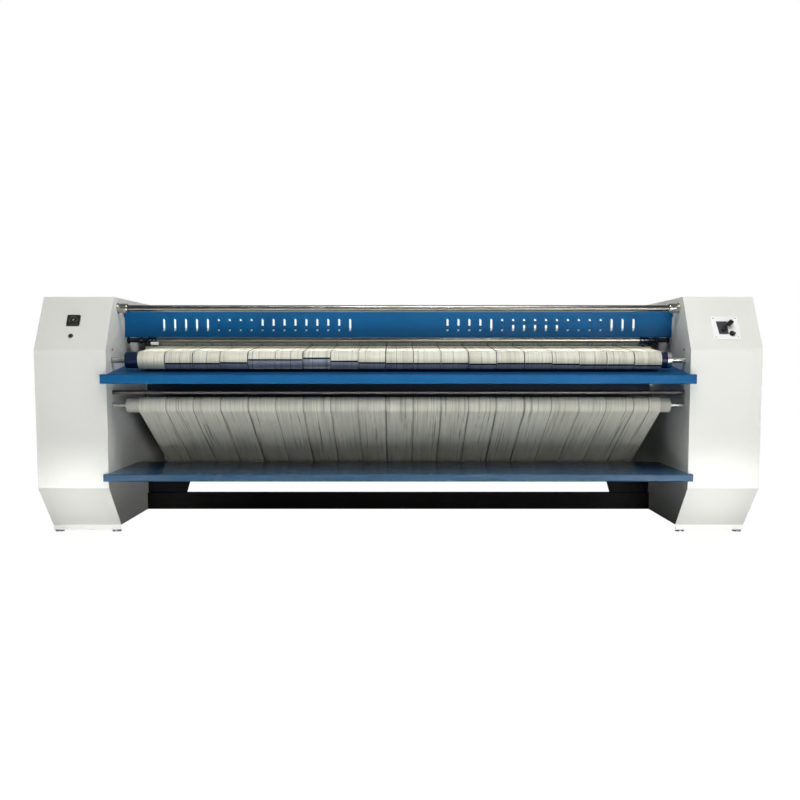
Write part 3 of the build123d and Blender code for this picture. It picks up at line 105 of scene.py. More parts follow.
class Finish:
    """A principled material and short calls for the nodes that feed it."""

    def __init__(self, name, metallic=0.0, coat=0.0, coat_roughness=0.25, specular=0.5):
        self.material = bpy.data.materials.new(name)
        self.material.use_nodes = True
        self.tree = self.material.node_tree
        self.tree.nodes.clear()
        output = self.tree.nodes.new("ShaderNodeOutputMaterial")
        self.shader = self.tree.nodes.new("ShaderNodeBsdfPrincipled")
        self.tree.links.new(self.shader.outputs["BSDF"], output.inputs["Surface"])
        self.shader.inputs["Metallic"].default_value = metallic
        self.shader.inputs["Coat Weight"].default_value = coat
        self.shader.inputs["Coat Roughness"].default_value = coat_roughness
        self.shader.inputs["Specular IOR Level"].default_value = specular
        self.places = self.add("ShaderNodeTexCoord").outputs

    def add(self, kind, inputs=(), **settings):
        """A node with its settings; inputs are values or other nodes' sockets."""
        made = self.tree.nodes.new(kind)
        for name, value in settings.items():
            setattr(made, name, value)
        for name, value in dict(inputs).items():
            if isinstance(value, bpy.types.NodeSocket):
                self.tree.links.new(value, made.inputs[name])
            else:
                made.inputs[name].default_value = value
        return made

    def math(self, operation, *values):
        """Result of a Math node."""
        return self.add("ShaderNodeMath", enumerate(values), operation=operation).outputs[0]

    def apart(self, coordinate, axis):
        """One axis of a coordinate."""
        return self.add("ShaderNodeSeparateXYZ", {"Vector": self.places[coordinate]}).outputs[axis]

    def noise(self, scale, detail=3.0, coordinate="Object", roughness=0.55):
        """Noise whose scale is how many blotches lie in a metre along X, Y and Z."""
        where = self.add("ShaderNodeMapping", {"Vector": self.places[coordinate], "Scale": scale})
        inputs = {"Vector": where.outputs[0], "Scale": 1.0, "Detail": detail, "Roughness": roughness}
        return self.add("ShaderNodeTexNoise", inputs).outputs["Fac"]

    def ramp(self, amount, *stops):
        """Colour by amount; each stop is a position and a colour or a grey."""
        made = self.add("ShaderNodeValToRGB", {"Fac": amount})
        elements = made.color_ramp.elements
        while len(elements) < len(stops):
            elements.new(0.5)
        for element, (position, colour) in zip(elements, stops):
            element.position = position
            element.color = colour if hasattr(colour, "__len__") else (colour,) * 3 + (1,)
        return made.outputs["Color"]

    def mix(self, amount, first, second):
        """Colour between two; 0, 6 and 7 are a Mix node's factor and its colour sockets."""
        inputs = {0: amount, 6: first, 7: second}
        return self.add("ShaderNodeMix", inputs, data_type="RGBA").outputs[2]

    def use(self, colour, roughness, normal=None):
        """Links the surface's colour, roughness and normal."""
        for name, value in (("Base Color", colour), ("Roughness", roughness), ("Normal", normal)):
            if value is not None:
                self.tree.links.new(value, self.shader.inputs[name])

    def bump(self, height, distance, strength, under=None):
        """Normal from a height in metres, on top of another bump where under gives one."""
        inputs = {"Height": height, "Distance": distance, "Strength": strength}
        if under is not None:
            inputs["Normal"] = under
        return self.add("ShaderNodeBump", inputs).outputs["Normal"]


def shaded(colour, factor):
    """A colour made darker or lighter."""
    return tuple(part * factor for part in colour[:3]) + (1,)


def painted(
    name, colour, roughness=0.38, specular=0.3, wear=0.06, shafts=False, bright_end=0.0
):
    """Sprayed or powder paint: faint clouding, handling marks and orange peel.

    With shafts, the metal beyond a roll's ends is left bare, and so is bright_end of its right end.
    """
    finish = Finish(name, specular=specular)
    cloud = finish.noise((1.7, 1.7, 1.7), detail=4)
    marks = finish.noise((9, 9, 2.2), detail=6, roughness=0.7)
    tone = finish.ramp(cloud, (0.3, shaded(colour, 1 - wear)), (0.7, shaded(colour, 1 + wear / 2)))
    dirt = finish.ramp(marks, (0.6, 0.0), (0.82, 0.5))
    tone = finish.mix(dirt, tone, shaded(colour, 1 - 1.6 * wear))
    rough = finish.ramp(marks, (0.3, roughness - 0.05), (0.75, roughness + 0.1))
    if shafts:
        shifted = finish.math("ADD", finish.apart("Object", "X"), bright_end / 2)
        edge = ROLL_HALF + END_CLEAR - bright_end / 2
        bare = finish.math("GREATER_THAN", finish.math("ABSOLUTE", shifted), edge)
        turned = finish.noise((700, 3, 3), detail=4)
        tone = finish.mix(bare, tone, finish.ramp(turned, (0.3, STEEL_DARK), (0.7, STEEL_LIGHT)))
        rough = finish.mix(bare, rough, finish.ramp(turned, (0.3, 0.22), (0.7, 0.4)))
        finish.tree.links.new(bare, finish.shader.inputs["Metallic"])
    peel = finish.noise((420, 420, 420), detail=2)
    finish.use(tone, rough, finish.bump(peel, 0.00012, 0.35))
    return finish.material


def metal(name, colour, roughness, along=(1.5, 260, 260), scratch=0.00003, tint=0.08):
    """Metal with grinding or polishing lines; along is the noise scale on each axis."""
    finish = Finish(name, metallic=1.0)
    lines = finish.noise(along, detail=5, roughness=0.65)
    cloud = finish.noise((6, 14, 14), detail=3)
    tone = finish.ramp(lines, (0.25, shaded(colour, 1 - tint)), (0.75, shaded(colour, 1 + tint)))
    finish.use(
        finish.mix(finish.ramp(cloud, (0.35, 0.0), (0.8, 0.5)), tone, shaded(colour, 0.8)),
        finish.ramp(lines, (0.2, roughness * 0.7), (0.8, roughness * 1.35)),
        finish.bump(lines, scratch, 0.5),
    )
    return finish.material


def cast(name, colour, roughness=0.6):
    """Painted casting with a sandy skin."""
    finish = Finish(name, specular=0.25)
    grain = finish.noise((160, 160, 160), detail=6, roughness=0.7)
    cloud = finish.noise((12, 12, 12), detail=4)
    finish.use(
        finish.ramp(cloud, (0.3, shaded(colour, 0.8)), (0.75, shaded(colour, 1.2))),
        finish.ramp(grain, (0.3, roughness - 0.1), (0.7, roughness + 0.12)),
        finish.bump(grain, 0.0006, 0.5),
    )
    return finish.material


def moulded(name, colour):
    """Moulded plastic with a fine etched grain."""
    finish = Finish(name, specular=0.3)
    grain = finish.noise((900, 900, 900), detail=3)
    cloud = finish.noise((30, 30, 30), detail=3)
    finish.use(
        finish.ramp(cloud, (0.3, shaded(colour, 0.85)), (0.75, shaded(colour, 1.2))),
        finish.ramp(grain, (0.3, 0.37), (0.7, 0.5)),
        finish.bump(grain, 0.00012, 0.4),
    )
    return finish.material


def rubber(name, colour):
    """Dull rubber or glue with an uneven skin."""
    finish = Finish(name, specular=0.15)
    grain = finish.noise((300, 40, 40), detail=4)
    finish.use(
        finish.ramp(grain, (0.3, shaded(colour, 0.7)), (0.75, shaded(colour, 1.4))),
        finish.ramp(grain, (0.3, 0.65), (0.7, 0.85)),
        finish.bump(grain, 0.0003, 0.5),
    )
    return finish.material


def belting(name, colour, streak, soil):
    """Woven belting: warp streaks along the belt, dark edges that are wear and painted shade of the gaps
    between belts, and a plain weave.

    The belt's U is its number plus metres from its middle, so each belt differs.
    """
    finish = Finish(name, specular=0.0)
    warp = finish.noise((210, 2.2, 1), detail=5, coordinate="UV", roughness=0.7)
    lines = finish.noise((75, 1.1, 1), detail=4, coordinate="UV", roughness=0.75)
    wide = finish.noise((17, 0.6, 1), detail=3, coordinate="UV")
    cloud = finish.noise((7, 5, 1), detail=5, coordinate="UV")
    tone = finish.ramp(warp, (0.32, shaded(colour, 1 - streak)), (0.6, shaded(colour, 1.03)))
    tone = finish.mix(finish.ramp(lines, (0.56, 0.0), (0.66, 0.8)), tone, shaded(soil, 0.45))
    tone = finish.mix(finish.ramp(wide, (0.48, 0.0), (0.75, 0.5)), tone, soil)
    tone = finish.mix(finish.ramp(cloud, (0.52, 0.0), (0.85, 0.5)), tone, soil)
    # Darker towards each belt's edge: wear, and painted shade of the gap beside it
    number_part = finish.math("FRACT", finish.math("ADD", finish.apart("UV", "X"), 0.5))
    from_middle = finish.math("ABSOLUTE", finish.math("SUBTRACT", number_part, 0.5))
    inputs = {"Value": from_middle, "From Min": BELT_WIDTH / 2 - EDGE_WEAR_AND_SHADE, "From Max": BELT_WIDTH / 2}
    edge = finish.add("ShaderNodeMapRange", inputs).outputs["Result"]
    tone = finish.mix(edge, tone, shaded(soil, 0.5))
    threads = []
    for axis, pitch in THREADS:
        # A wave texture's bands are a pitch apart at this scale
        inputs = {"Vector": finish.places["UV"], "Scale": pi / 10 / pitch}
        threads.append(finish.add("ShaderNodeTexWave", inputs, bands_direction=axis).outputs["Fac"])
    weave = finish.bump(finish.math("MULTIPLY", *threads), 0.0004, 0.08)
    finish.use(tone, finish.ramp(warp, (0.3, 0.82), (0.7, 0.93)), finish.bump(warp, 0.0005, 0.3, weave))
    return finish.material


def glass(name, colour):
    """Dark glass of a meter's window, with faint smears."""
    finish = Finish(name, coat=1.0, coat_roughness=0.05)
    smear = finish.noise((60, 25, 90), detail=4)
    finish.use(
        finish.ramp(smear, (0.3, shaded(colour, 0.8)), (0.75, shaded(colour, 1.3))),
        finish.ramp(smear, (0.3, 0.12), (0.75, 0.3)),
    )
    return finish.material


def paper(name, colour):
    """Printed face behind a meter's window."""
    finish = Finish(name)
    grain = finish.noise((500, 500, 500), detail=2)
    finish.use(
        finish.ramp(grain, (0.3, shaded(colour, 0.93)), (0.7, shaded(colour, 1.03))),
        finish.ramp(grain, (0.3, 0.6), (0.7, 0.75)),
    )
    return finish.material


END_CLEAR = 0.0005  # keeps a roll's end face painted
# Width of a belt's darkened edge, for its wear and the painted shade of the gap
EDGE_WEAR_AND_SHADE = 0.002
THREADS = (("X", 0.0022), ("Y", 0.0019))  # direction and pitch of the weave
POLISH = (3, 60, 60)
STEEL_LIGHT = (0.62, 0.61, 0.57, 1)
STEEL_DARK = (0.36, 0.36, 0.33, 1)
FINISHES = {
    "cabinet_paint": painted("cabinet_paint", (0.77, 0.775, 0.73, 1), 0.42, wear=0.025),
    "blue_paint": painted("blue_paint", (0.004, 0.074, 0.198, 1), 0.42, specular=0.08, wear=0.12),
    "black_paint": painted("black_paint", (0.002, 0.002, 0.0018, 1), 0.5, specular=0.05, wear=0.25),
    "polished_steel": metal("polished_steel", (0.38, 0.38, 0.345, 1), 0.28),
    "chrome": metal("chrome", (0.5, 0.495, 0.46, 1), 0.1, POLISH, scratch=0.00001, tint=0.03),
    "navy_paint": painted(
        "navy_paint", (0.002, 0.010, 0.040, 1), 0.3, wear=0.2, shafts=True, bright_end=0.022
    ),
    "grey_roll": painted("grey_roll", (0.36, 0.36, 0.32, 1), 0.45, wear=0.12, shafts=True),
    "bare_steel": metal("bare_steel", (0.36, 0.35, 0.34, 1), 0.35),
    "cast_iron": cast("cast_iron", (0.07, 0.075, 0.08, 1)),
    "motor_paint": cast("motor_paint", (0.03, 0.07, 0.12, 1), 0.5),
    "element_sheath": metal("element_sheath", (0.19, 0.15, 0.13, 1), 0.45, tint=0.2),
    "belt_rubber": rubber("belt_rubber", (0.012, 0.012, 0.012, 1)),
    "feed_canvas": belting("feed_canvas", (0.72, 0.71, 0.60, 1), 0.2, (0.40, 0.38, 0.29, 1)),
    "ironing_canvas": belting("ironing_canvas", (0.62, 0.615, 0.53, 1), 0.25, (0.36, 0.355, 0.29, 1)),
    "black_plastic": moulded("black_plastic", (0.006, 0.006, 0.006, 1)),
    "bezel_metal": metal("bezel_metal", (0.6, 0.6, 0.59, 1), 0.18, along=(60, 60, 60)),
    "plate_white": painted("plate_white", (0.9, 0.9, 0.9, 1), 0.35, wear=0.02),
    "escutcheon_grey": painted("escutcheon_grey", (0.055, 0.052, 0.058, 1), 0.35, wear=0.25),
    "switchgear_grey": moulded("switchgear_grey", (0.30, 0.31, 0.31, 1)),
}
# Nodes whose finish differs from their slot's in the photograph, or in what they throw back
NODE_FINISHES = {
    "guard_rail": metal("rail_steel", (0.14, 0.137, 0.122, 1), 0.24, POLISH, scratch=0.00001, tint=0.03),
    # The drum's steel is made near black as painted shade for the dark under the table
    "drum_shell": metal("drum_steel_painted_shade", (0.022, 0.026, 0.030, 1), 0.5, along=(260, 1.5, 1.5)),
    # The guide rod's steel is darkened as painted shade under the table
    "guide_rod": metal("rod_steel_painted_shade", (0.10, 0.10, 0.095, 1), 0.45),
    # The shelf's blue is greyed as dust and as a painted sheen of reflected light
    "receiving_shelf": painted("shelf_dust_and_painted_sheen", (0.026, 0.078, 0.150, 1), 0.2, specular=0.15, wear=0.15),
    "press_bar_clamps": painted("clamp_navy", (0.002, 0.010, 0.025, 1), 0.16, specular=0.6, wear=0.2),
}
# Lap below each seam: darker blue-grey canvas, painted shade with the table's blue as a painted
# reflection
LAP_PAINTED_SHADE = belting("lap_canvas_painted_shade", (0.25, 0.29, 0.36, 1), 0.3, (0.12, 0.15, 0.19, 1))
# Dark line along each lap's top: glue and painted shadow
GLUE_AND_SHADOW_LINE = rubber("glue_and_painted_shadow", (0.005, 0.008, 0.013, 1))
METER_GLASS = glass("meter_glass", (0.016, 0.013, 0.011, 1))
DIAL_WHITE = paper("dial_white", (0.40, 0.36, 0.31, 1))
SCREW_STEEL = metal("screw_steel", (0.32, 0.32, 0.31, 1), 0.3, along=(90, 90, 90))


def paint_nodes():
    """Gives every CAD node its own finish or its material slot's."""
    for subpart in frame["record"]["subparts"]:
        shown = frame["nodes"][subpart["node"]]
        finish = NODE_FINISHES.get(subpart["node"], FINISHES[subpart["material_slot"]])
        for material_slot in shown.material_slots:
            material_slot.material = finish


# ---------------------------------------------------------------- meshes

SHARP = radians(38)  # least angle between faces whose edge stays sharp
UPRIGHT = 0.99  # from this share of a direction's length, it counts as upright


def piece(
    name, points, faces, body, slot, materials=None, uvs=None, places=None, indices=None, flat=False
):
    """A piece made of points and faces that rides on a body; places is its own frame."""
    mesh = bpy.data.meshes.new(name)
    mesh.from_pydata(points, [], faces)
    if uvs is not None:
        layer = mesh.uv_layers.new(name="UVMap")
        for corner in mesh.loops:
            layer.data[corner.index].uv = uvs[corner.vertex_index]
    for material in materials or [FINISHES[slot]]:
        mesh.materials.append(material)
    if indices is not None:
        mesh.polygons.foreach_set("material_index", indices)
    editable = bmesh.new()
    editable.from_mesh(mesh)
    bmesh.ops.recalc_face_normals(editable, faces=editable.faces)
    editable.to_mesh(mesh)
    editable.free()
    if not flat:
        mesh.shade_smooth()
        mesh.set_sharp_from_angle(angle=SHARP)
    shown = bpy.data.objects.new(name, mesh)
    bpy.context.scene.collection.objects.link(shown)
    if places is not None:
        mesh.transform(places)
    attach(shown, body)
    return shown


def joined(rings, count, start=0, closed=False):
    """Faces between rings of count points each, and from the last to the first where closed."""
    faces = []
    for i in range(rings if closed else rings - 1):
        here, there = start + i * count, start + (i + 1) % rings * count
        for k in range(count):
            after = (k + 1) % count
            faces.append([here + k, here + after, there + after, there + k])
    return faces


class Shape:
    """Points and faces gathered from several simple solids, for one piece."""

    def __init__(self):
        self.points, self.faces = [], []

    def add(self, points, faces, places=None):
        start = len(self.points)
        for point in points:
            self.points.append(tuple(places @ Vector(point)) if places is not None else tuple(point))
        self.faces += [[start + corner for corner in face] for face in faces]

    def lathe(self, profile, sides=32, places=None):
        """Solid turned about Z from (radius, height) points, with a flat face at each end."""
        points = []
        for radius, height in profile:
            for k in range(sides):
                turn = 2 * pi * k / sides
                points.append((radius * cos(turn), radius * sin(turn), height))
        faces = joined(len(profile), sides)
        faces.append(list(range(sides))[::-1])
        last = (len(profile) - 1) * sides
        faces.append([last + k for k in range(sides)])
        self.add(points, faces, places)

    def prism(self, outline, bottom, top, bevel=0.0, places=None):
        """Upright prism over an outline that runs counter-clockwise, its top edge bevelled."""
        count = len(outline)
        centre = Vector((sum(x for x, y in outline) / count, sum(y for x, y in outline) / count))
        rings = [(outline, bottom), (outline, top - bevel)]
        if bevel:
            inner = []
            for x, y in outline:
                out = Vector((x, y)) - centre
                inner.append(tuple(centre + out * (1 - bevel / out.length)))
            rings.append((inner, top))
        points = [(x, y, height) for ring, height in rings for x, y in ring]
        faces = [list(range(count))[::-1], [(len(rings) - 1) * count + k for k in range(count)]]
        self.add(points, faces + joined(len(rings), count), places)

    def made(self, name, body, slot, materials=None, places=None):
        """The piece that these solids make."""
        return piece(name, self.points, self.faces, body, slot, materials, None, places)


def rounded(width, height, corner, steps=5, across=0.0):
    """Outline of a rectangle with round corners, counter-clockwise, its middle at X across."""
    outline = []
    for x, y, start in (
        (width / 2 - corner, height / 2 - corner, 0),
        (corner - width / 2, height / 2 - corner, 90),
        (corner - width / 2, corner - height / 2, 180),
        (width / 2 - corner, corner - height / 2, 270),
    ):
        for k in range(steps + 1):
            turn = radians(start + 90 * k / steps)
            outline.append((across + x + corner * cos(turn), y + corner * sin(turn)))
    return outline


def facing(place, outward):
    """Frame at a place whose Z points outward, and whose Y points up unless Z is upright."""
    z = Vector(outward).normalized()
    up = Vector((0, 1, 0)) if abs(z.z) > UPRIGHT else Vector((0, 0, 1))
    x = up.cross(z).normalized()
    turn = Matrix((x, z.cross(x), z)).transposed().to_4x4()
    return Matrix.Translation(place) @ turn


def on_slope(x, height, lift):
    """Frame on the cabinets' upper sloping face, with Z facing the operator and Y up the slope."""
    rise = SLOPE_TOP - UPPER_FOLD
    y = front + SLOPE_BACK * (height - UPPER_FOLD) / rise
    outward = Vector((0, -rise, SLOPE_BACK)).normalized()
    return facing(Vector((x, y, height)) + outward * lift, outward)


# A screw head's outline from its rim to the bottom of its socket, as shares of its radius
SCREW_HEAD = ((1.0, 0.35), (0.82, 0.62), (0.48, 0.7), (0.42, 0.25))
SCREW_SUNK = 0.0005
SCREW_SIDES = 18


def add_screw(shape, place, outward, radius):
    """Domed screw head with a round socket."""
    profile = [(radius, -SCREW_SUNK)] + [(out * radius, up * radius) for out, up in SCREW_HEAD]
    shape.lathe(profile, SCREW_SIDES, facing(place, outward))


# ---------------------------------------------------------------- belts


def roll(node):
    """Axle's place in the side view and radius of a roll's node."""
    low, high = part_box(node)
    return ((low.y + high.y) / 2, (low.z + high.z) / 2, (high.z - low.z) / 2)


ARC_STEP = radians(5)
LINE_STEP = 0.05


def loop(circles):
    """Points round a belt's inner face, as (y, z, outward y, outward z, length so far).

    circles are (y, z, radius) in order, counter-clockwise; the path bends back round a
    negative radius.
    """
    count = len(circles)
    leaving = []
    for i in range(count):
        (y0, z0, r0), (y1, z1, r1) = circles[i], circles[(i + 1) % count]
        leaving.append(atan2(z1 - z0, y1 - y0) - asin((r1 - r0) / hypot(y1 - y0, z1 - z0)))
    path = []
    length = 0.0

    def note(y, z, heading):
        nonlocal length
        if path:
            length += hypot(y - path[-1][0], z - path[-1][1])
        path.append((y, z, sin(heading), -cos(heading), length))

    for i, (y, z, radius) in enumerate(circles):
        turn = leaving[i] - leaving[i - 1]
        way = 1 if radius > 0 else -1
        turn = way * ((way * turn) % (2 * pi))
        steps = ceil(abs(turn) / ARC_STEP)
        for k in range(steps + 1):
            heading = leaving[i - 1] + turn * k / steps
            note(y + radius * sin(heading), z - radius * cos(heading), heading)
        after_y, after_z, after_radius = circles[(i + 1) % count]
        start = path[-1]
        end = (after_y + after_radius * sin(leaving[i]), after_z - after_radius * cos(leaving[i]))
        over, up = end[0] - start[0], end[1] - start[1]
        steps = max(1, ceil(hypot(over, up) / LINE_STEP))
        for k in range(1, steps):
            share = k / steps
            note(start[0] + share * over, start[1] + share * up, leaving[i])
    closing = hypot(path[0][0] - path[-1][0], path[0][1] - path[-1][1])
    return path, length + closing


def place_at(path, total, length):
    """Place and outward direction at a length round a loop."""
    length %= total
    closed = path + [(*path[0][:4], total)]
    for before, after in zip(closed, closed[1:]):
        if after[4] >= length:
            share = (length - before[4]) / (after[4] - before[4])
            return [a + share * (b - a) for a, b in zip(before[:4], after[:4])]
    return list(path[-1][:4])


# Section across a belt: (share of the half width, share of the thickness)
SECTION = (
    (-0.975, 0.0), (0.0, 0.0), (0.975, 0.0), (1.0, 0.25), (1.0, 0.75), (0.975, 1.0),
    (0.5, 1.0), (0.0, 1.0), (-0.5, 1.0), (-0.975, 1.0), (-1.0, 0.75), (-1.0, 0.25),
)


def add_band(points, faces, uvs, stations, spot, width, bottom, thickness, sway, closed=False):
    """Adds a band on stations (y, z, outward y, outward z, length); spot is the belt's (number, x)."""
    start, across = len(points), len(SECTION)
    number, x = spot
    for y, z, out_y, out_z, length in stations:
        for share, rise in SECTION:
            lift = bottom + rise * thickness
            points.append((x + sway(length) + share * width / 2, y + out_y * lift, z + out_z * lift))
            uvs.append((number + share * width / 2, length))
    faces += joined(len(stations), across, start, closed)
    if not closed:
        last = start + (len(stations) - 1) * across
        faces.append([start + k for k in range(across)][::-1])
        faces.append([last + k for k in range(across)])


# Gap in millimetres after each belt but the last, and how far the first belt has crept to the left
BELT_GAPS = (3, 3, 2.5, 4.5, 1.2, 4.5, 3, 1.2, 4.5, 3, 3, 4.5, 4.5, 4.5, 2, 1.2, 2, 4.5)
CREEP = 1.5
SWAY = (0.0002, 0.0007)  # least and most that a belt swings to each side
SWINGS = 2  # in one turn of the belt
LAP_LENGTH = 0.042
LAP_PROUD = 0.0009
LAP_INSET = 0.001  # of a lap's edges from the belt's
LAP_STEPS = 6
# Size of the dark line at a lap's top, glue and painted shadow
GLUE_SHADOW_WIDTH = 0.008
GLUE_SHADOW_PROUD = 0.0012
# Each feed belt's lap, in degrees over the front feed roll's axle; the first belt's is out of sight
LAP_ANGLES = (None, -26, -26, -25, -3, -2, 8, -12, -21, -26, -29, -27, -34, -30, -27, -34, -37, -39, -41)


def belt_spot(number, node):
    """A belt's number and the middle of its width."""
    low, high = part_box(node)
    first, last = low.x + BELT_WIDTH / 2, high.x - BELT_WIDTH / 2
    pitch = (last - first) / (BELTS - 1)
    even_gap = (pitch - BELT_WIDTH) * 1000
    crept = (sum(BELT_GAPS[:number]) - number * even_gap - CREEP) / 1000
    return number, first + pitch * number + crept


def belt(name, path, total, spot, thickness, slot, lap_at=None):
    """One belt of a loop, with its lap in painted shade and its line of glue and painted shadow where
    lap_at is a length round it.
    """
    points, faces, uvs = [], [], []
    phase, reach = draw.uniform(0, 2 * pi), draw.uniform(*SWAY)

    def sway(length):
        return reach * sin(2 * pi * SWINGS * length / total + phase)

    add_band(points, faces, uvs, path, spot, BELT_WIDTH, 0, thickness, sway, closed=True)
    indices = [0] * len(faces)
    if lap_at is not None:
        width = BELT_WIDTH - 2 * LAP_INSET
        lap, glue_and_shadow = (0.0, LAP_LENGTH, LAP_PROUD), (-GLUE_SHADOW_WIDTH, 0.0, GLUE_SHADOW_PROUD)
        for index, (first, last, proud) in enumerate((lap, glue_and_shadow), 1):
            stations = []
            for k in range(LAP_STEPS + 1):
                length = lap_at + first + (last - first) * k / LAP_STEPS
                stations.append((*place_at(path, total, length), length))
            before = len(faces)
            add_band(points, faces, uvs, stations, spot, width, thickness, proud, sway)
            indices += [index] * (len(faces) - before)
    materials = [FINISHES[slot], LAP_PAINTED_SHADE, GLUE_AND_SHADOW_LINE]
    made = piece(name, points, faces, "frame", slot, materials, uvs, indices=indices)
    return made


def feed_belts():
    """The belts of the feed conveyor, with their laps where the photograph has them."""
    rolls = [roll("rear_feed_roll"), roll("front_feed_roll")]
    path, total = loop([(y, z, radius + BELT_CLEAR) for y, z, radius in rolls])
    axle_y, axle_z, radius = rolls[1]
    for i in range(BELTS):
        lap_at = None
        if LAP_ANGLES[i] is not None:
            target = axle_z + (radius + BELT_CLEAR) * sin(radians(LAP_ANGLES[i]))
            ahead = [point for point in path if point[0] < axle_y]
            lap_at = min(ahead, key=lambda point: abs(point[1] - target))[4]
        spot, name = belt_spot(i, "feed_belts"), f"feed_belt_{i + 1:02d}"
        belt(name, path, total, spot, FEED_BELT, "feed_canvas", lap_at)
    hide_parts("feed_belts")


def ironing_belts():
    """The belts that press the linen against the drum and return below it."""
    around = ("press_roll", "drum_shell", "lower_front_roll", "lower_rear_roll", "tension_roll")
    circles = []
    for node in around:
        y, z, radius = roll(node)
        if node == "drum_shell":
            circles.append((y, z, -(radius + 2 * BELT_CLEAR + IRONING_BELT)))
        else:
            circles.append((y, z, radius + BELT_CLEAR))
    path, total = loop(circles)
    for i in range(BELTS):
        spot, name = belt_spot(i, "ironing_belts"), f"ironing_belt_{i + 1:02d}"
        belt(name, path, total, spot, IRONING_BELT, "ironing_canvas")
    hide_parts("ironing_belts")


# ---------------------------------------------------------------- controls

# Heights are of the middles above the floor; x and y on the plate are from its middle
METER_HEIGHT = 1.175
METER_BEZEL = 0.005
WINDOW_SIZE = 0.060
WINDOW_CORNER = 0.005
WINDOW_SUNK = 0.0002
WINDOW_TOP = 0.0014
WINDOW_BEVEL = 0.0006
DIAL_RADIUS = 0.0235
DIAL_START = radians(215)
DIAL_SWEEP = radians(-250)
TICKS = 11
LONG_TICK = 0.0055  # every fifth
SHORT_TICK = 0.0035
TICK_HALF = 0.0006
PRINT_SUNK = 0.0001  # in the window
TICK_RISE = 0.0002
NEEDLE_RISE = 0.0004
NEEDLE_HUB = ((0.003, 0.0013), (0.003, 0.0022), (0.0018, 0.0028))
NEEDLE_READING = 0.62  # share of the sweep
NEEDLE_TAIL = 0.005
NEEDLE_TIP = 0.019
NEEDLE_HALF = 0.0011
BUTTON_HEIGHT = 1.090
BUTTON_RADIUS = 0.009
BUTTON_CLEAR = 0.0002
BUTTON_STEM = 0.022
BUTTON_RISE = 0.0028
BUTTON_DOME = 0.0024
DOME_FLATNESS = 0.6  # 1 would be a round dome
BEZEL_HEIGHT = 0.004
PLATE_HEIGHT = 1.134
PLATE_SIZE = 0.145
PLATE_THICK = 0.003
RIM_WIDTH = 0.006
RIM_RISE = 0.0018
RIM_CORNERS = (0.006, 0.002)  # outer and inner
PLATE_SCREW = 0.003  # radius of its head, as for the other screws
PLATE_SCREW_INSET = 0.013
ESCUTCHEON = 0.003
TURNING_CLEAR = 0.0003  # between a handle or knob and what it turns on
HANDLE_HUB = (-0.016, -0.014)
HANDLE_ANGLE = radians(41)
# The hub's outline from the switch out to its face, (radius, height)
HUB = ((0.005, -0.024), (0.005, 0.0), (0.013, 0.0), (0.013, 0.020), (0.011, 0.023), (0.004, 0.024))
LEVER_REACH = 0.049
ARM_HALF = (0.0035, 0.004)  # at the hub and at the grip
GRIP = (0.036, 0.024, 0.004)  # length, width and corner, as for a rib and the pointer
RIBS = 5
RIB = (0.003, 0.020, 0.001)
RIB_PITCH = 0.006
KNOB_SPOT = (0.029, -0.038)
KNOB_RADIUS = 0.0155
FLUTES = 12
FLUTE_DEPTH = 0.0004
FLUTE_STEPS = 72
KNOB_SHAFT = ((0.003, -0.018), (0.003, 0.001))  # as the hub's outline
POINTER = (0.0355, 0.0078, 0.0035)
# Bottom, top and bevel, over what the handle or the knob turns on
ARM_SPAN = (0.012, 0.019, 0.001)
GRIP_SPAN = (0.010, 0.024, 0.002)
RIB_SPAN = (0.0235, 0.0252, 0.0004)
KNOB_SPAN = (0.0, 0.0065, 0.001)
POINTER_SPAN = (0.0005, 0.0118, 0.0012)


def direction(turn):
    """Unit vectors at an angle and square to it."""
    return Vector((cos(turn), sin(turn))), Vector((-sin(turn), cos(turn)))


def meter():
    """Window, dial and needle of the temperature meter."""
    places = on_slope(middle("temperature_meter").x, METER_HEIGHT, METER_BEZEL)
    window = Shape()
    outline = rounded(WINDOW_SIZE, WINDOW_SIZE, WINDOW_CORNER)
    window.prism(outline, -WINDOW_SUNK, WINDOW_TOP, WINDOW_BEVEL)
    window.made("meter_window", "frame", "black_plastic", [METER_GLASS], places)
    dial = Shape()
    for k in range(TICKS):
        way, side = direction(DIAL_START + DIAL_SWEEP * k / (TICKS - 1))
        inner = DIAL_RADIUS - (SHORT_TICK if k % 5 else LONG_TICK)
        corners = ((inner, -1), (DIAL_RADIUS, -1), (DIAL_RADIUS, 1), (inner, 1))
        tick = [tuple(way * reach + side * (TICK_HALF * hand)) for reach, hand in corners]
        dial.prism(tick, WINDOW_TOP - PRINT_SUNK, WINDOW_TOP + TICK_RISE)
    dial.made("meter_scale", "frame", "plate_white", [DIAL_WHITE], places)
    needle = Shape()
    way, side = direction(DIAL_START + DIAL_SWEEP * NEEDLE_READING)
    tail, half = way * -NEEDLE_TAIL, side * NEEDLE_HALF
    blade = [tuple(tail - half), tuple(way * NEEDLE_TIP), tuple(tail + half)]
    needle.prism(blade, WINDOW_TOP, WINDOW_TOP + NEEDLE_RISE)
    needle.lathe(NEEDLE_HUB, 20)
    needle.made("meter_needle", "frame", "plate_white", [DIAL_WHITE], places)


def button():
    """Push button with a domed cap, in a ring."""
    places = on_slope(middle("button_bezel").x, BUTTON_HEIGHT, BEZEL_HEIGHT)
    radius = BUTTON_RADIUS - BUTTON_CLEAR
    profile = [(radius, -BUTTON_STEM), (radius, BUTTON_RISE)]
    for degrees in range(15, 90, 15):
        turn = radians(degrees)
        profile.append((radius * cos(turn) ** DOME_FLATNESS, BUTTON_RISE + BUTTON_DOME * sin(turn)))
    cap = Shape()
    cap.lathe(profile, 36)
    made = cap.made("push_button_cap", "button", "black_plastic", None, places)
    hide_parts("push_button")


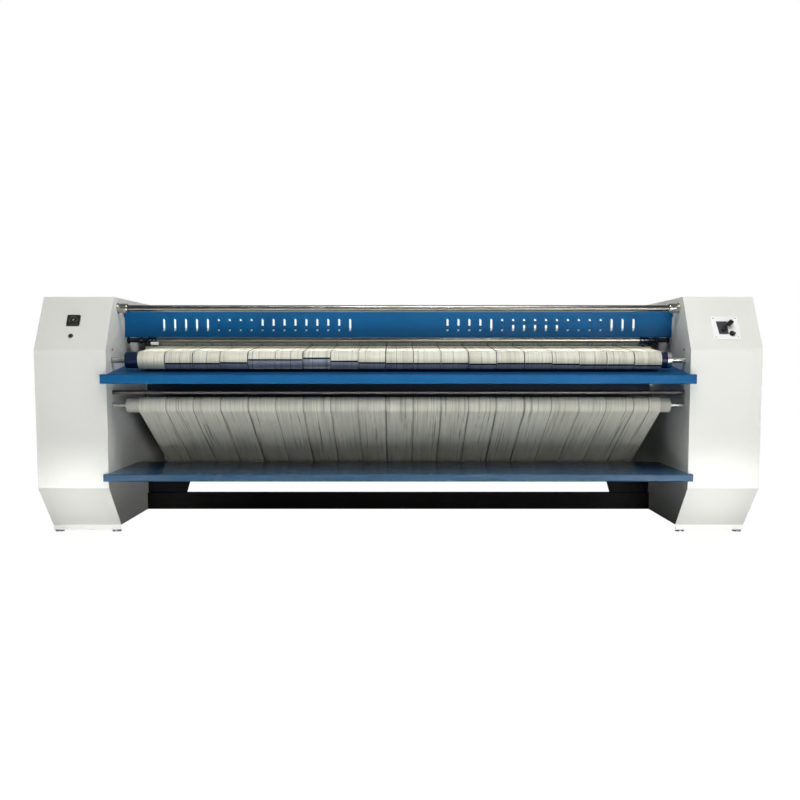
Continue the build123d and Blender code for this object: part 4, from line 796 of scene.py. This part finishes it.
def control_plate():
    """Raised rim and corner screws of the right-hand plate."""
    places = on_slope(middle("control_plate").x, PLATE_HEIGHT, PLATE_THICK)
    opening = PLATE_SIZE - 2 * RIM_WIDTH
    outer = rounded(PLATE_SIZE, PLATE_SIZE, RIM_CORNERS[0])
    inner = rounded(opening, opening, RIM_CORNERS[1])
    rings = ((outer, 0), (outer, RIM_RISE), (inner, RIM_RISE), (inner, 0))
    points = [(x, y, height) for ring, height in rings for x, y in ring]
    rim = Shape()
    rim.add(points, joined(len(rings), len(outer), closed=True))
    rim.made("plate_rim", "frame", "plate_white", None, places)
    screws = Shape()
    reach = PLATE_SIZE / 2 - PLATE_SCREW_INSET
    outward = places.to_3x3() @ Vector((0, 0, 1))
    for x in (-reach, reach):
        for y in (-reach, reach):
            add_screw(screws, places @ Vector((x, y, 0)), outward, PLATE_SCREW)
    screws.made("plate_screws", "frame", "plate_white", [SCREW_STEEL])


def on_plate(spot, lift):
    """Frame at a spot of the right-hand plate, lifted from its face."""
    places = on_slope(middle("control_plate").x, PLATE_HEIGHT, PLATE_THICK + lift)
    return places @ Matrix.Translation((*spot, 0))


def isolator_handle():
    """Lever with a ribbed grip on a round hub."""
    lever = Shape()
    lever.lathe(HUB, 32)
    turn = Matrix.Rotation(HANDLE_ANGLE, 4, "Z")
    near, far = ARM_HALF
    arm = [(0.0, -near), (LEVER_REACH, -far), (LEVER_REACH, far), (0.0, near)]
    lever.prism(arm, *ARM_SPAN, turn)
    lever.prism(rounded(*GRIP, across=LEVER_REACH), *GRIP_SPAN, turn)
    for k in range(RIBS):
        rib = rounded(*RIB, steps=3, across=LEVER_REACH + RIB_PITCH * (k - RIBS // 2))
        lever.prism(rib, *RIB_SPAN, turn)
    places = on_plate(HANDLE_HUB, ESCUTCHEON + TURNING_CLEAR)
    made = lever.made("isolator_lever", "isolator", "black_plastic", None, places)
    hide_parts("isolator_handle")


def selector_knob():
    """Fluted knob with a pointer bar."""
    flutes = []
    for k in range(FLUTE_STEPS):
        turn = 2 * pi * k / FLUTE_STEPS
        radius = KNOB_RADIUS + FLUTE_DEPTH * cos(FLUTES * turn)
        flutes.append((radius * cos(turn), radius * sin(turn)))
    knob = Shape()
    knob.prism(flutes, *KNOB_SPAN)
    knob.prism(rounded(*POINTER), *POINTER_SPAN)
    knob.lathe(KNOB_SHAFT, 16)
    places = on_plate(KNOB_SPOT, TURNING_CLEAR)
    made = knob.made("selector_cap", "selector", "black_plastic", None, places)
    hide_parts("selector_knob")


# ---------------------------------------------------------------- behind the guard

GUARD_DEPTH = 0.358  # of the guard's face behind the cabinets' fronts
GUARD_SHEET = 0.003
SLOTS = 18
SLOT_PITCH = 0.0621
SLOT_GROUP_X = 0.804
SLOT_BOTTOM = 1.1265
SLOT_TOP = 1.1955
BACKING_SHIFT = 0.004  # of its windows from the slots' middles
BACKING_WIDTH = 0.0125
BACKING_GAP = 0.0003
BACKING_THICK = 0.0015
BACKING_PAST = (0.02, 0.008)  # past its outermost windows, across and up
# What shows through each slot, left to right: O open, D spots at its ends, U and L open above or below
BEHIND_SLOTS = {-1: "OOOOODDDDUUUUUUUUO", 1: "UUUUODLLLLLDDDDOOO"}
# Open spans of a slot's height, as shares of it from the bottom
WINDOW_SPANS = {
    "O": ((0.0, 1.0),),
    "D": ((0.0, 0.13), (0.83, 1.0)),
    "U": ((0.0, 0.13), (0.45, 1.0)),
    "L": ((0.0, 0.5), (0.83, 1.0)),
}


def guard_backing():
    """Perforated blue sheet behind the guard, which leaves each slot open in part or whole."""
    height = SLOT_TOP - SLOT_BOTTOM
    holes = []
    for side in (-1, 1):
        for k in range(SLOTS):
            x = side * SLOT_GROUP_X + SLOT_PITCH * (k - (SLOTS - 1) / 2) + BACKING_SHIFT
            for low, high in WINDOW_SPANS[BEHIND_SLOTS[side][k]]:
                spans = (SLOT_BOTTOM + low * height, SLOT_BOTTOM + high * height)
                holes.append((x - BACKING_WIDTH / 2, x + BACKING_WIDTH / 2, *spans))
    past_x, past_z = BACKING_PAST
    reach = max(hole[1] for hole in holes) + past_x
    rims = {SLOT_BOTTOM - past_z, SLOT_TOP + past_z}
    xs = sorted({-reach, reach} | {round(x, 6) for hole in holes for x in hole[:2]})
    zs = sorted(rims | {round(z, 6) for hole in holes for z in hole[2:]})

    def solid(i, j):
        if not (0 <= i < len(xs) - 1 and 0 <= j < len(zs) - 1):
            return False
        x, z = (xs[i] + xs[i + 1]) / 2, (zs[j] + zs[j + 1]) / 2
        return not any(left < x < right and low < z < high for left, right, low, high in holes)

    near = front + GUARD_DEPTH + GUARD_SHEET + BACKING_GAP
    points = [(x, y, z) for y in (near, near + BACKING_THICK) for z in zs for x in xs]
    faces = []

    def corner(i, j, layer):
        return (layer * len(zs) + j) * len(xs) + i

    for i in range(len(xs) - 1):
        for j in range(len(zs) - 1):
            if not solid(i, j):
                continue
            around = [(i, j), (i + 1, j), (i + 1, j + 1), (i, j + 1)]
            faces.append([corner(*spot, 0) for spot in around])
            faces.append([corner(*spot, 1) for spot in reversed(around)])
            for k, (step_i, step_j) in enumerate(((0, -1), (1, 0), (0, 1), (-1, 0))):
                if not solid(i + step_i, j + step_j):
                    a, b = around[k], around[(k + 1) % 4]
                    faces.append([corner(*b, 0), corner(*a, 0), corner(*a, 1), corner(*b, 1)])
    piece("guard_backing", points, faces, "guard", "blue_paint", flat=True)


# ---------------------------------------------------------------- clamp pad and fasteners

CLAMP_RADIUS = 0.023
PAD = (0.043, 0.012, 0.0185)
PAD_CORNER = 0.003
PAD_BEVEL = 0.0015
PAD_SCREW = 0.0035
PAD_MIDDLE = -1.398
PAD_DROP = 0.0198  # below the bar's axle
PAD_AHEAD = 0.002  # of the clamp's front
CLAMP_SCREW = 0.0045
CLAMP_SCREWS = (0.010, 0.032)  # from the bar's ends
SOCKET_RADIUS = 0.026  # of a rail flange's socket
SOCKET_SCREW = 0.004
SOCKET_SCREW_OUT = 0.030  # from the wall
SEATED = 0.0003  # what a screw on a round part sinks into it
WALL_SCREW = 0.007
# Screws on each side frame, (behind the front, height)
WALL_SCREWS = ((0.121, 1.020), (0.040, 0.330), (0.250, 0.330))
COVER_SCREW = 0.006
# Screws on each outer cover: (behind the front, height), heights at mid depth, heights near the rear
SIDE_FRONT_SCREWS = ((0.060, 0.33), (0.060, 0.97), (0.27, 0.06), (0.23, 1.26))
SIDE_MIDDLE_SCREWS = (0.06, 1.26)
SIDE_REAR_SCREWS = (0.06, 0.65, 1.26)
SIDE_REAR_EDGE = 0.05
REAR_EDGE = 0.02  # from the sides of the rear covers and of the hood
REAR_SCREWS = [0.06 + 0.29 * k for k in range(5)]
HOOD_SCREWS = [0.24 + 0.27 * k for k in range(4)]
HOOD_FOOT = 0.205  # height of the row along the hood's foot
HOOD_FOOT_SCREWS = 9
HOOD_FOOT_EDGE = 0.08  # from the hood's sides


def clamp_highlight_pad():
    """White block on the front of the left clamp, a painted highlight where the clamp catches the light.
    """
    axle = middle("press_bar_clamps")
    place = Vector((PAD_MIDDLE, axle.y - CLAMP_RADIUS - PAD_AHEAD, axle.z - PAD_DROP))
    width, thick, height = PAD
    pad = Shape()
    outline = rounded(width, height, PAD_CORNER)
    pad.prism(outline, -thick / 2, thick / 2, PAD_BEVEL, facing(place, (0, -1, 0)))
    add_screw(pad, place - Vector((0, thick / 2, 0)), (0, -1, 0), PAD_SCREW)
    pad.made("clamp_highlight_pad", "frame", "plate_white")


def screws():
    """Screws that show on the side frames, the rail's flanges and the covers."""
    frame_screws, cover_screws = Shape(), Shape()
    flange = middle("rail_flanges")
    rear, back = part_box("rear_covers")[1].y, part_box("rear_hood")[1].y
    for side in (-1, 1):
        for behind, height in WALL_SCREWS:
            spot = (side * wall, front + behind, height)
            add_screw(frame_screws, spot, (-side, 0, 0), WALL_SCREW)
        under = (side * (wall - SOCKET_SCREW_OUT), flange.y, flange.z - SOCKET_RADIUS + SEATED)
        add_screw(frame_screws, under, (0, 0, -1), SOCKET_SCREW)
        for x in (wall + REAR_EDGE, outside - REAR_EDGE):
            for height in REAR_SCREWS:
                add_screw(cover_screws, (side * x, rear, height), (0, 1, 0), COVER_SCREW)
        for height in HOOD_SCREWS:
            add_screw(cover_screws, (side * (wall - REAR_EDGE), back, height), (0, 1, 0), COVER_SCREW)
        spots = [(front + behind, height) for behind, height in SIDE_FRONT_SCREWS]
        spots += [(0.0, height) for height in SIDE_MIDDLE_SCREWS]
        spots += [(rear - SIDE_REAR_EDGE, height) for height in SIDE_REAR_SCREWS]
        for y, height in spots:
            add_screw(cover_screws, (side * outside, y, height), (side, 0, 0), COVER_SCREW)
    half = HOOD_FOOT_SCREWS // 2
    for k in range(-half, half + 1):
        x = (wall - HOOD_FOOT_EDGE) * k / half
        add_screw(cover_screws, (x, back, HOOD_FOOT), (0, 1, 0), COVER_SCREW)
    frame_screws.made("frame_screws", "frame", "bare_steel", [SCREW_STEEL])
    cover_screws.made("cover_screws", "frame", "bare_steel", [SCREW_STEEL])


def clamp_screws():
    """Set screws in the press bar's clamps."""
    axle = middle("press_bar_clamps")
    bar_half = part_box("press_bar")[1].x
    shape = Shape()
    for side in (-1, 1):
        for offset in CLAMP_SCREWS:
            place = (side * (bar_half - offset), axle.y - CLAMP_RADIUS + SEATED, axle.z)
            add_screw(shape, place, (0, -1, 0), CLAMP_SCREW)
    shape.made("clamp_screws", "frame", "black_paint", [SCREW_STEEL])


# ---------------------------------------------------------------- studio

# Strength of the surroundings as light, as mirrored, and as the camera sees them
SKY_LIGHT = 0.04
SKY_MIRRORED = 0.22
SKY_SEEN = 1.0
FLOOR_HALF = 30.0
FLOOR_BOUNCE = 0.8
FLOOR_DARK = 0.03
FLOOR_FADE = (0.6, 0.2)  # ahead of the front, where the floor turns dark
FLOOR_SEEN = 1.0
# name, place, watts, (width, depth), spread in degrees, what it points at
LIGHTS = (
    ("key", (0.5, -2.6, 5.0), 165, (2.0, 2.0), 180, (-0.2, -0.4, 1.0)),
    ("front", (3.3, -10.0, 0.5), 325, (3.0, 1.5), 180, (0, 0, 0.7)),
    ("floor_wash", (0.0, -2.3, 3.2), 160, (5.0, 0.8), 35, (0.0, -2.3, 0.0)),
    ("belt_strip", (0.0, -1.1, 3.0), 1.6, (2.85, 0.12), 7, (0.0, -0.40, 1.02)),
    ("run_strip", (0.0, -3.0, 1.40), 0.35, (2.85, 0.02), 2, (0.0, -0.2, 1.03)),
    ("left_low", (-1.72, -1.9, 0.05), 1.0, (0.45, 0.1), 40, (-1.72, -0.55, 0.08)),
    ("right_low", (1.72, -1.9, 0.05), 1.1, (0.45, 0.1), 40, (1.72, -0.55, 0.08)),
    ("rear", (0.0, 7.0, 2.4), 350, (3.0, 3.0), 180, (0, 0.6, 0.6)),
    ("left", (-6.0, 0.5, 0.7), 110, (1.4, 1.4), 180, (-2, 0, 0.6)),
    ("right", (6.0, 0.5, 0.7), 110, (1.4, 1.4), 180, (2, 0, 0.6)),
)
UNMIRRORED = "rear"  # its image would wash out the machine's top from the front


def sky():
    """Soft white surroundings, brighter where they are seen than as light."""
    world = bpy.data.worlds.new("studio")
    bpy.context.scene.world = world
    world.use_nodes = True
    nodes, links = world.node_tree.nodes, world.node_tree.links
    path = nodes.new("ShaderNodeLightPath")
    thrown = nodes.new("ShaderNodeMapRange")
    thrown.inputs["To Min"].default_value = SKY_LIGHT
    thrown.inputs["To Max"].default_value = SKY_MIRRORED
    links.new(path.outputs["Is Glossy Ray"], thrown.inputs["Value"])
    seen = nodes.new("ShaderNodeMapRange")
    seen.inputs["To Max"].default_value = SKY_SEEN
    links.new(thrown.outputs["Result"], seen.inputs["To Min"])
    links.new(path.outputs["Is Camera Ray"], seen.inputs["Value"])
    background = nodes["Background"]
    background.inputs["Color"].default_value = (1.0, 1.0, 1.0, 1)
    links.new(seen.outputs["Result"], background.inputs["Strength"])


def floor_finish():
    """Pale floor that throws light up in front of the machine and little from under it."""
    finish = Finish("floor_pale", specular=0.0)
    grain = finish.noise((3, 3, 3), detail=2)
    pale = finish.ramp(grain, (0.3, FLOOR_BOUNCE), (0.7, FLOOR_BOUNCE + 0.02))
    start, end = (front - ahead for ahead in FLOOR_FADE)
    inputs = {"Value": finish.apart("Object", "Y"), "From Min": start, "From Max": end}
    under = finish.add("ShaderNodeMapRange", inputs).outputs["Result"]
    dark = (FLOOR_DARK, FLOOR_DARK, FLOOR_DARK, 1)
    finish.use(finish.mix(under, pale, dark), finish.ramp(grain, (0.3, 0.8), (0.7, 0.9)))
    seen = finish.add("ShaderNodeLightPath").outputs["Is Camera Ray"]
    finish.shader.inputs["Emission Color"].default_value = (1, 1, 1, 1)
    glow = finish.math("MULTIPLY", seen, FLOOR_SEEN)
    finish.tree.links.new(glow, finish.shader.inputs["Emission Strength"])
    return finish.material


def studio():
    """The floor and the lights."""
    mesh = bpy.data.meshes.new("floor")
    corners = [(x * FLOOR_HALF, y * FLOOR_HALF, 0) for x, y in ((-1, -1), (1, -1), (1, 1), (-1, 1))]
    mesh.from_pydata(corners, [], [(0, 1, 2, 3)])
    floor = bpy.data.objects.new("floor", mesh)
    mesh.materials.append(floor_finish())
    bpy.context.scene.collection.objects.link(floor)
    for name, place, power, (width, depth), spread, target in LIGHTS:
        data = bpy.data.lights.new(name, "AREA")
        data.energy = power
        data.shape = "RECTANGLE"
        data.size, data.size_y = width, depth
        data.spread = radians(spread)
        light = bpy.data.objects.new(name, data)
        light.visible_camera = False
        light.visible_glossy = name != UNMIRRORED
        light.location = place
        heading = Vector(target) - Vector(place)
        light.rotation_euler = heading.to_track_quat("-Z", "Y").to_euler()
        bpy.context.scene.collection.objects.link(light)


# ---------------------------------------------------------------- the scene

bpy.context.scene.view_settings.view_transform = "Standard"
sky()
camera()
studio()
paint_nodes()
feed_belts()
ironing_belts()
meter()
button()
control_plate()
isolator_handle()
selector_knob()
guard_backing()
screws()
clamp_screws()
clamp_highlight_pad()
